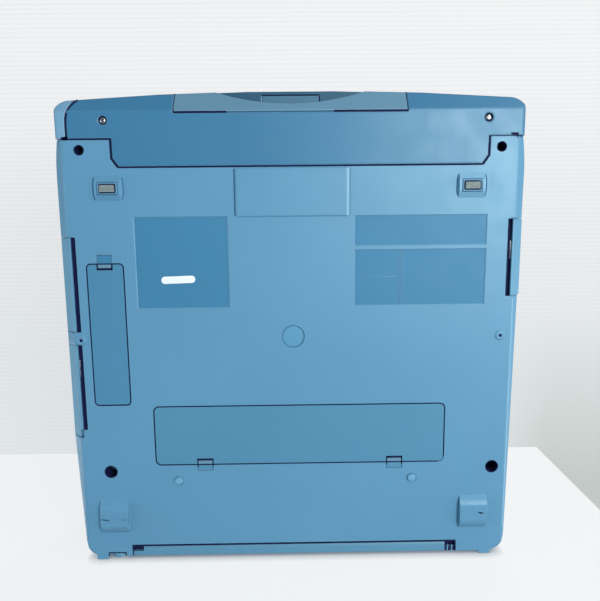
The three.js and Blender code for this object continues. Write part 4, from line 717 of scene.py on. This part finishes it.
# Finger notches of the battery door
tab_half, tab_over, tab_back = 5.9, 0.4, 3.9
tab_side_front, tab_side_rear, tab_end_rear = 4.6, 2.2, 4.6
tab_line, tab_side_line, tab_end_line = 1.7, 0.95, 0.6
tongue_half, tongue_front, tongue_rear = 5.3, 3.0, 0.3
battery_tabs = {"left": -69.9, "right": 77.8}
for name, centre in battery_tabs.items():
    cross_line("battery_tab_bar_" + name, centre - tab_half - tab_over, centre + tab_half + tab_over,
               battery_rear - tab_back, tab_line, seam_and_shade_dark, rides="battery_door")
    for side in sides.values():
        edge = centre + side * tab_half
        turn = battery_rear + tab_side_rear
        long_line("battery_tab_side_%s_%d" % (name, side), edge, battery_rear - tab_side_front, turn,
                  tab_side_line, seam_and_shade_dark, rides="battery_door")
        long_line("battery_tab_end_%s_%d" % (name, side), edge, turn, battery_rear + tab_end_rear,
                  tab_end_line, seam_and_shade_soft, rides="battery_door")
    pane("battery_tab_tongue_" + name, centre - tongue_half, centre + tongue_half,
         battery_rear - tongue_front, battery_rear - tongue_rear, panel - flat_lift, handle_plastic,
         rides="battery_door")

# Finger notch of the option door, with a recess before it
option_centre = -139.1
recess_half, recess_in = 5.3, 0.1
option_side_out, option_side_front, option_side_rear, option_side_line = 5.4, 0.4, 4.4, 1.0
option_back, option_tongue_half, option_tongue_rear = 3.7, 4.8, 2.8
pane("option_tab_recess", option_centre - recess_half, option_centre + recess_half, option_low.y + recess_in,
     option_front - tongue_rear, panel - flat_lift, field_plastic, rides="option_door")
for side in sides.values():
    long_line("option_tab_side_%d" % side, option_centre + side * option_side_out,
              option_front - option_side_front, option_front + option_side_rear, option_side_line, seam_and_shade_dark,
              rides="option_door")
cross_line("option_tab_bar", option_centre - tab_half, option_centre + tab_half, option_front + option_back,
           tab_line, seam_and_shade_dark, rides="option_door")
pane("option_tab_tongue", option_centre - option_tongue_half, option_centre + option_tongue_half,
     option_front + tongue_rear, option_front + option_tongue_rear, panel - flat_lift, handle_plastic,
     rides="option_door")

# Bare sunk fields with sloped rims; each has its left, right, front and rear edge
field_depth = 0.6
field_floor = panel + field_depth - skin_lift
rim_out, rim_in, face_in, rim_radius, face_radius = 0.4, 0.45, 0.4, 0.9, 0.6
right_fields_left, right_fields_right = 46.0, 143.8
lower_front, lower_rear = -65.1, -23.1
fields = {
    "field_left": (-116.1, -47.3, -90.6, -22.5),
    "field_right_upper": (right_fields_left, right_fields_right, -90.2, -67.9),
    "field_right_lower": (right_fields_left, right_fields_right, lower_front, lower_rear),
}
for name, edges in fields.items():
    rim = [rounded(*edges, rim_radius, panel - flat_lift, out=rim_out),
           rounded(*edges, face_radius, field_floor, out=-rim_in)]
    stack(name + "_rim", rim, body_plastic, fill=False, smooth=None)
    face = rounded(*edges, face_radius, field_floor, out=-face_in)
    stack(name + "_face", [face], field_plastic, smooth=None)

# Raised ribs that divide the lower right field
rib_half, rib_in, rib_top, rib_bevel = 0.2, 0.7, 0.1, 0.1
rib_foot, low_rib_foot = 0.25, 0.2
low_rib_left, low_rib_right, low_rib_y = 47.0, 79.4, -44.7
for x in (79.8, 80.9):
    bar("field_divider_%d" % round(x * 10), x - rib_half, x + rib_half, lower_front + rib_in,
        lower_rear - rib_in, field_floor - rib_foot, field_floor + rib_top, body_plastic, rib_bevel)
bar("field_divider_low", low_rib_left, low_rib_right, low_rib_y - rib_half, low_rib_y + rib_half,
    field_floor - low_rib_foot, field_floor + rib_top, body_plastic, rib_bevel)

# Blank sticker in the left field
sticker_x, sticker_y = -85.2, -44.0
sticker_half, sticker_radius, sticker_steps = 12.6, 2.75, 8
sticker_turn = Matrix.Rotation(math.radians(-1.6), 2)
sticker_tip = 0.01
sticker_levels = ((0, 0), (0.05, 0.1), (0.25, 0.12))


def sticker_loop(inset, raised):
    """Outline of the sticker, which is round at its ends and a little turned."""
    radius = sticker_radius - inset - sticker_tip
    loop = []
    for x, y, z in rounded(-sticker_half, sticker_half, -sticker_radius, sticker_radius, radius,
                           field_floor - raised, out=-inset, steps=sticker_steps):
        turned = Vector((x, y))
        turned.rotate(sticker_turn)
        loop.append((sticker_x + turned.x, sticker_y + turned.y, z))
    return loop


stack("blank_sticker", [sticker_loop(*level) for level in sticker_levels], label_paper, smooth=40)

# Raised plate's sloped sides, which slope more on its right; a painted highlight lies on that right slope
plate_left, plate_right, plate_front, plate_rear, plate_face = -40.3, 40.3, -124.4, -90.5, 3.1
foot_out, right_foot_out, foot_radius, foot_lift = 0.9, 1.9, 1.2, 0.01
top_in, right_top_in, top_radius = 0.25, 0.9, 0.6
plate_rim = [rounded(plate_left - foot_out, plate_right + right_foot_out, plate_front - foot_out,
                     plate_rear + foot_out, foot_radius, panel - foot_lift),
             rounded(plate_left + top_in, plate_right - right_top_in, plate_front + top_in,
                     plate_rear - top_in, top_radius, plate_face - flat_lift)]
stack("plate_rim", plate_rim, body_plastic, fill=False, smooth=None)
# Painted shade: dark lines at the foot of the plate's left and right sides
left_line_out, left_line, right_line_out, right_line = 1.2, 1.3, 2.2, 0.4
long_line("plate_shade_line_left", plate_left - left_line_out, plate_front, plate_rear, left_line, seam_and_shade_soft)
long_line("plate_shade_line_right", plate_right + right_line_out, plate_front, plate_rear, right_line, seam_and_shade_soft)
# Painted highlight: a pale strip laid on the plate's right slope
shine_out, shine_in, shine_foot_lift, shine_top_lift = 1.7, 0.8, 0.09, 0.05
shine_foot_x, shine_foot_z = plate_right + shine_out, panel - shine_foot_lift
shine_top_x, shine_top_z = plate_right - shine_in, plate_face - shine_top_lift
lay("plate_glint", [(shine_foot_x, plate_front, shine_foot_z), (shine_foot_x, plate_rear, shine_foot_z),
                    (shine_top_x, plate_rear, shine_top_z), (shine_top_x, plate_front, shine_top_z)],
    [(0, 1, 2, 3)], edge_painted_highlight)

# Round forms from profiles of radius and height: moulding disc, locating nubs and lugs
disc_profile = [(8.7, panel - 0.02), (8.0, field_floor), (7.7, field_floor), (7.5, field_floor - 0.12),
                (1.9, field_floor - 0.12), (1.5, field_floor + 0.3), (0.9, field_floor + 0.3),
                (0.7, field_floor - 0.1)]
disc_line_radius, thin_line = 8.35, 0.5
stack("moulding_disc", rings(0, 0, disc_profile), disc_plastic, smooth=25)
seam("moulding_disc_line", circle(0, 0, disc_line_radius, 0), thin_line, seam_and_shade_soft, closed=True)
nub_profile = [(3.4, 4.0), (3.2, 3.5), (2.7, 3.12), (1.9, 2.9), (0.9, 2.8)]
nub_y, nub_shade_radius = 114.8, 3.5
for name, x in {"left": -91.2, "right": 91.9}.items():
    # Painted shade: a dark ring round each nub's dome
    seam("nub_shade_ring_" + name, circle(x, nub_y, nub_shade_radius, 0), thin_line, seam_and_shade_soft, closed=True)
    stack("nub_dome_" + name, rings(x, nub_y, nub_profile), nub_plastic, smooth=60)
lug_profile = [(3.9, 4.0), (3.35, 3.6), (3.2, 3.18), (2.5, 3.02), (1.8, 3.1), (1.4, 3.5), (1.3, 6.0)]
lug_y, lug_hole_radius, lug_hole_z = 1.1, 1.42, 3.55
for name, x in {"left": -159.9, "right": 156.9}.items():
    stack("lug_ring_" + name, rings(x, lug_y, lug_profile), body_plastic, fill=False)
    # Painted shade: a dark disc deep in each lug's hole
    stack("lug_hole_" + name, [circle(x, lug_y, lug_hole_radius, lug_hole_z)], hollow_painted_shade, smooth=None)

# Front pads: raised frame and dark recess line round each, a painted shade line outside the frame, and
# painted shade lines along the flanks of the crowned blocks they stand on
frame_profile = [(1.85, 1.42), (1.6, 0.9), (1.05, 0.9), (0.85, 1.42)]
frame_radius, frame_line_out, frame_line_radius = 0.7, 2.05, 0.8
recess_out, recess_radius, recess_line = 0.4, 0.5, 0.9
on_block = at_height(1.38)
block_half, block_length, block_drop, block_crown = 9.4, 17.8, 2.6, 1.35
block_steps, block_flare, block_gap, block_line, block_lift = 16, 0.46, 0.25, 0.7, 0.01


def block_point(step):
    """Share of the block's length at a step, and how far the crowned block stands out there."""
    share = step / block_steps
    return share, block_drop * min(1.0, block_crown * math.sin(math.pi * share))


for name in sides:
    low, high = box("front_foot_" + name)
    pad = (low.x, high.x, low.y, high.y)
    frame_loops = [rounded(*pad, frame_radius, z, out=out) for out, z in frame_profile]
    stack("pad_frame_" + name, frame_loops, body_plastic, fill=False, smooth=None)
    seam("pad_recess_" + name, rounded(*pad, recess_radius, 0, out=recess_out), recess_line, seam_and_shade_dark,
         closed=True, height=on_block)
    # Painted shade: soft dark line just outside the raised frame
    seam("pad_frame_shade_line_" + name, rounded(*pad, frame_line_radius, 0, out=frame_line_out), thin_line,
         seam_and_shade_soft, closed=True, height=on_block)
    x, y = middle("front_foot_" + name)
    # Painted shade: soft dark lines along the foot of the block's crowned flanks
    for side in sides.values():
        path = []
        for step in range(1, block_steps):
            share, drop = block_point(step)
            path.append((x + side * (block_half + block_flare * drop + block_gap),
                         y + block_length * (share - 0.5)))
        seam("block_flank_shade_%s_%d" % (name, side), path, block_line, seam_and_shade_soft)

# Painted sheen: a paler face over the right block, standing in for the reflection on it
x, y = middle("front_foot_right")
points = []
for step in range(block_steps + 1):
    share, drop = block_point(step)
    for side in sides.values():
        points.append((x + side * block_half, y + block_length * (share - 0.5), panel - drop - block_lift))
lay("block_face_right", points, [(2 * n, 2 * n + 2, 2 * n + 3, 2 * n + 1) for n in range(block_steps)],
    block_painted_sheen, smooth=60)

# Screws of the front cover: recessed heads with a cross; the wells and the cross are near-black painted
# shade
well_profile = [(3.55, panel - flat_lift), (3.1, 4.25), (3.05, 6.0), (0.4, 6.05)]
head_profile = [(2.2, 5.9), (2.25, 5.0), (2.1, 4.62), (1.7, 4.36), (1.1, 4.22), (0.5, 4.18)]
cross_half, cross_half_width, cross_z = 1.3, 0.3, 4.13
for name in sides:
    x, y = middle("cover_screw_" + name)
    stack("screw_well_" + name, rings(x, y, well_profile), hollow_painted_shade, smooth=35)
    stack("screw_head_" + name, rings(x, y, head_profile), bright_steel, smooth=50,
          replaces=("cover_screw_" + name,))
    for degrees in (40, 130):
        a = math.radians(degrees)
        across = Vector((math.cos(a), math.sin(a))) * cross_half
        along = Vector((-math.sin(a), math.cos(a))) * cross_half_width
        corners = [across * i + along * j for i, j in ((-1, -1), (1, -1), (1, 1), (-1, 1))]
        patch("screw_cross_%s_%d" % (name, degrees), [(x + c.x, y + c.y) for c in corners], cross_z,
              hollow_painted_shade)

# Painted shade: near-black bores of the case wells
mouth_out, bore_in, screw_lift = 0.45, 0.05, 0.2
for name, radius in {"front_left": 3.3, "front_right": 3.3, "rear_left": 4.7, "rear_right": 4.7}.items():
    x, y = middle("case_screw_" + name)
    screw_face = box("case_screw_" + name)[0].z
    bore_profile = [(radius + mouth_out, panel - skin_lift), (radius - bore_in, panel - flat_lift),
                    (radius - bore_in, screw_face - screw_lift)]
    stack("well_bore_" + name, rings(x, y, bore_profile), hollow_painted_shade, fill=False)

# Painted shade: dark sheets inside the side slots; the left rear one ends short of its cover's end
slot_inner, slot_outer, slot_in, slot_depth, left_rear_short = 159.4, 164.9, 0.2, 2.95, 6.2
for node, side, short in (("left_cover_front", -1, 0), ("left_cover_rear", -1, left_rear_short),
                          ("right_cover", 1, 0)):
    low, high = box(node)
    pane("slot_shade_" + node, side * slot_inner, side * slot_outer, low.y - slot_in, high.y - short,
         panel + slot_depth, hollow_painted_shade)

# Connectors in the side bays
port_outer, port_low, port_high = 166.5, 16.0, 29.0
port_middle = (port_low + port_high) / 2
flange_back, flange_thick, flange_in, flange_bevel = 0.02, 0.4, 0.5, 0.12
shell_end, shell_side, shell_radius = 4, 2.4, 2
shell_profile = ((0, 0.35), (0, 2.3), (0.5, 2.3), (0.5, 1.0))
insert_in, insert_out, insert_radius = 0.5, 1.1, 1.5
contact_pitch, contact_radius, contact_out, contact_points = 2.77, 0.5, 1.15, 8
row_half, row_ends = 1.4, 13


def port(name, side, front, rear):
    """Connector: flange, shell, dark insert and two rows of contacts."""
    def wall_points(loop, distance):
        return [(side * (port_outer + distance), y, z) for y, z, unused in loop]

    near, far = sorted((side * (port_outer + flange_back), side * (port_outer + flange_thick)))
    bar("port_flange_" + name, near, far, front + flange_in, rear - flange_in, port_low + flange_in,
        port_high - flange_in, bright_steel, flange_bevel)
    mouth = (front + shell_end, rear - shell_end, port_low + shell_side, port_high - shell_side)
    points = []
    for inset, distance in shell_profile:
        points += wall_points(rounded(*mouth, shell_radius, 0, out=-inset), distance)
    faces = tube_faces(len(shell_profile), len(points) // len(shell_profile))
    lay("port_shell_" + name, points, faces, bright_steel, smooth=30)
    insert = wall_points(rounded(*mouth, insert_radius, 0, out=-insert_in), insert_out)
    lay("port_insert_" + name, insert, [tuple(range(len(insert)))], charcoal_plastic)
    number = int((rear - front - row_ends) / contact_pitch)
    first = (front + rear - number * contact_pitch) / 2
    points, faces = [], []
    for row, height in enumerate((port_middle - row_half, port_middle + row_half)):
        for index in range(number + 1 - row):
            start = len(points)
            place = first + (index + row / 2) * contact_pitch
            points += wall_points(circle(place, height, contact_radius, 0, contact_points), contact_out)
            faces.append(tuple(range(start, start + contact_points)))
    lay("port_contacts_" + name, points, faces, bright_steel)


port("left_front", -1, front=-67.8, rear=-13.2)
port("left_rear", -1, front=13.2, rear=36.0)
port("right", 1, front=-78.4, rear=-37.3)

# Bright edges of the connectors' shells, which glint in the slots
glint = {"bottom": 6.3, "top": 6.9, "material": bright_steel, "bevel": 0.25}
bar("port_shell_edge_right", left=162.3, right=163.6, front=-70.5, rear=-57.0, **glint)
bar("port_shell_edge_left", left=-163.9, right=-162.8, front=17.0, rear=30.0, **glint)

# Rear edge: lines round the flap's bar, and dark painted shade in the notches at its ends
flap_low, flap_high = box("paper_flap")
flap_over, flap_gap, flap_end_front, flap_lift = 0.1, 0.15, 0.6, 0.03
flap_line, flap_end_line, flap_end = 1.5, 0.8, 177.9
cross_line("flap_seam", flap_low.x - flap_over, flap_high.x + flap_over, flap_low.y - flap_gap,
           flap_line, seam_and_shade_dark)
for name, x in {"left": flap_low.x - flap_gap, "right": flap_high.x + flap_gap}.items():
    long_line("flap_end_" + name, x, flap_low.y - flap_end_front, flap_end, flap_end_line, seam_and_shade_dark)
notch_low, notch_high, notch_z = 169.4, 174.4, 7.5
left_notch_end, right_notch_start, right_end_start = -121.8, 119.7, 119.8
right_end_front = 174.2
pane("flap_notch_left", flap_low.x, left_notch_end, notch_low, notch_high, notch_z, hollow_painted_shade)
pane("flap_notch_right", right_notch_start, flap_high.x, notch_low, notch_high, notch_z, hollow_painted_shade)
pane("flap_notch_right_end", right_end_start, flap_high.x, right_end_front, flap_end,
     flap_low.z - flap_lift, hollow_painted_shade, rides="paper_flap")
prong_half, prong_bevel = 0.55, 0.2
prong_front, prong_rear, prong_low, prong_high = 173.2, 178.0, 4.2, 6.2
for x in (122.0, 125.4):
    bar("flap_prong_%d" % round(x), x - prong_half, x + prong_half, prong_front, prong_rear, prong_low,
        prong_high, side_plastic, prong_bevel)

# Bowl of the power inlet in its notch: half rings, each with its place along Y and its radius
inlet_x = middle("power_inlet")[0]
notch_half, notch_front, notch_rear = 6.5, 175.3, 177.8
notch_gap, notch_front_gap, notch_line = 0.2, 0.3, 0.9
shade_rear, shade_z = 177.6, 13.0
bowl_z, bowl_steps = 12.2, 16
bowl_profile = ((175.2, 6.1), (177.4, 6.45), (179.6, 6.5), (180.2, 6.1), (180.2, 5.2), (178.8, 4.7))
bowl_points, bowl_faces = [], []
for y, radius in bowl_profile:
    for step in range(bowl_steps + 1):
        a = math.pi * (1 + step / bowl_steps)
        bowl_points.append((inlet_x + radius * math.cos(a), y, bowl_z + radius * math.sin(a)))
for row in range(len(bowl_profile) - 1):
    for step in range(bowl_steps):
        near = row * (bowl_steps + 1) + step
        far = near + bowl_steps + 1
        bowl_faces.append((near, near + 1, far + 1, far))
lay("inlet_bowl", bowl_points, bowl_faces, side_plastic, smooth=40)
# Painted shade: a dark sheet inside the notch, behind the bowl
pane("inlet_shade", inlet_x - notch_half, inlet_x + notch_half, notch_front, shade_rear, shade_z, hollow_painted_shade)
line_left, line_right = inlet_x - notch_half - notch_gap, inlet_x + notch_half + notch_gap
line_front = notch_front - notch_front_gap
seam("notch_line", [(line_left, notch_rear), (line_left, line_front), (line_right, line_front),
                    (line_right, notch_rear)], notch_line, seam_and_shade_dark)

# Painted shade: dark corners where the front cover meets the ears of the case
ear_notches = {
    "ear_notch_left": [(-159.9, -148.4), (-159.9, -145.9), (-164.4, -145.7), (-167.0, -139.0),
                       (-168.0, -143.0), (-165.0, -147.4)],
    "ear_notch_right": [(158.8, -148.4), (164.2, -148.4), (165.2, -143.8), (163.9, -143.4),
                        (163.1, -146.3), (158.8, -146.8)],
}
for name, corners in ear_notches.items():
    lay(name, [(x, y, skin(x, y)) for x, y in corners], [tuple(range(len(corners)))], seam_and_shade_dark)

# Scuffs on the rear feet: start, end, width and finish of each
foot_scuffs = (((-152.6, 144.2), (-146.0, 145.5), 0.7, seam_and_shade_dark),
               ((-137.3, 144.6), (-133.0, 145.2), 0.5, seam_and_shade_soft),
               ((144.2, 143.0), (148.6, 144.0), 0.8, seam_and_shade_dark),
               ((145.6, 144.4), (148.0, 143.6), 0.5, seam_and_shade_dark))
for index, (start, end, width, finish) in enumerate(foot_scuffs):
    seam("foot_scuff_%d" % index, [start, end], width, finish, height=at_height(0.0))

# Carry handle: a copy of its solid with the finger scoop darkened as painted shade; the crest
# and the scoop's arc are those of the solid
handle_mesh = nodes["carry_handle"].data.copy()
handle_mesh.materials.append(scoop_painted_shade)
scoop_half, scoop_deep = 52.0, 8.5
scoop_ceiling = release_low.z
crest_front, crest_back, crest_inset = -180.5, 6.5, 10
handle_crest = crest_front + crest_back * (handle_high.x / (front_edge - crest_inset)) ** 2
scoop_round = (scoop_half ** 2 + scoop_deep ** 2) / 2 / scoop_deep
scoop_centre = Vector((0, handle_crest + scoop_deep - scoop_round))
wall_slack, edge_slack, ceiling_slack, facing_down = 0.4, 0.1, 0.2, -0.9
for face in handle_mesh.polygons:
    spot = face.center / MM
    off_wall = abs((spot.xy - scoop_centre).length - scoop_round)
    on_wall = off_wall < wall_slack and spot.z < scoop_ceiling + edge_slack
    on_ceiling = face.normal.z < facing_down and abs(spot.z - scoop_ceiling) < ceiling_slack
    if on_wall or on_ceiling:
        face.material_index = 1
dressed_handle = bpy.data.objects.new("dressed_handle", handle_mesh)
scene.collection.objects.link(dressed_handle)
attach(dressed_handle, "handle")
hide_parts("carry_handle")
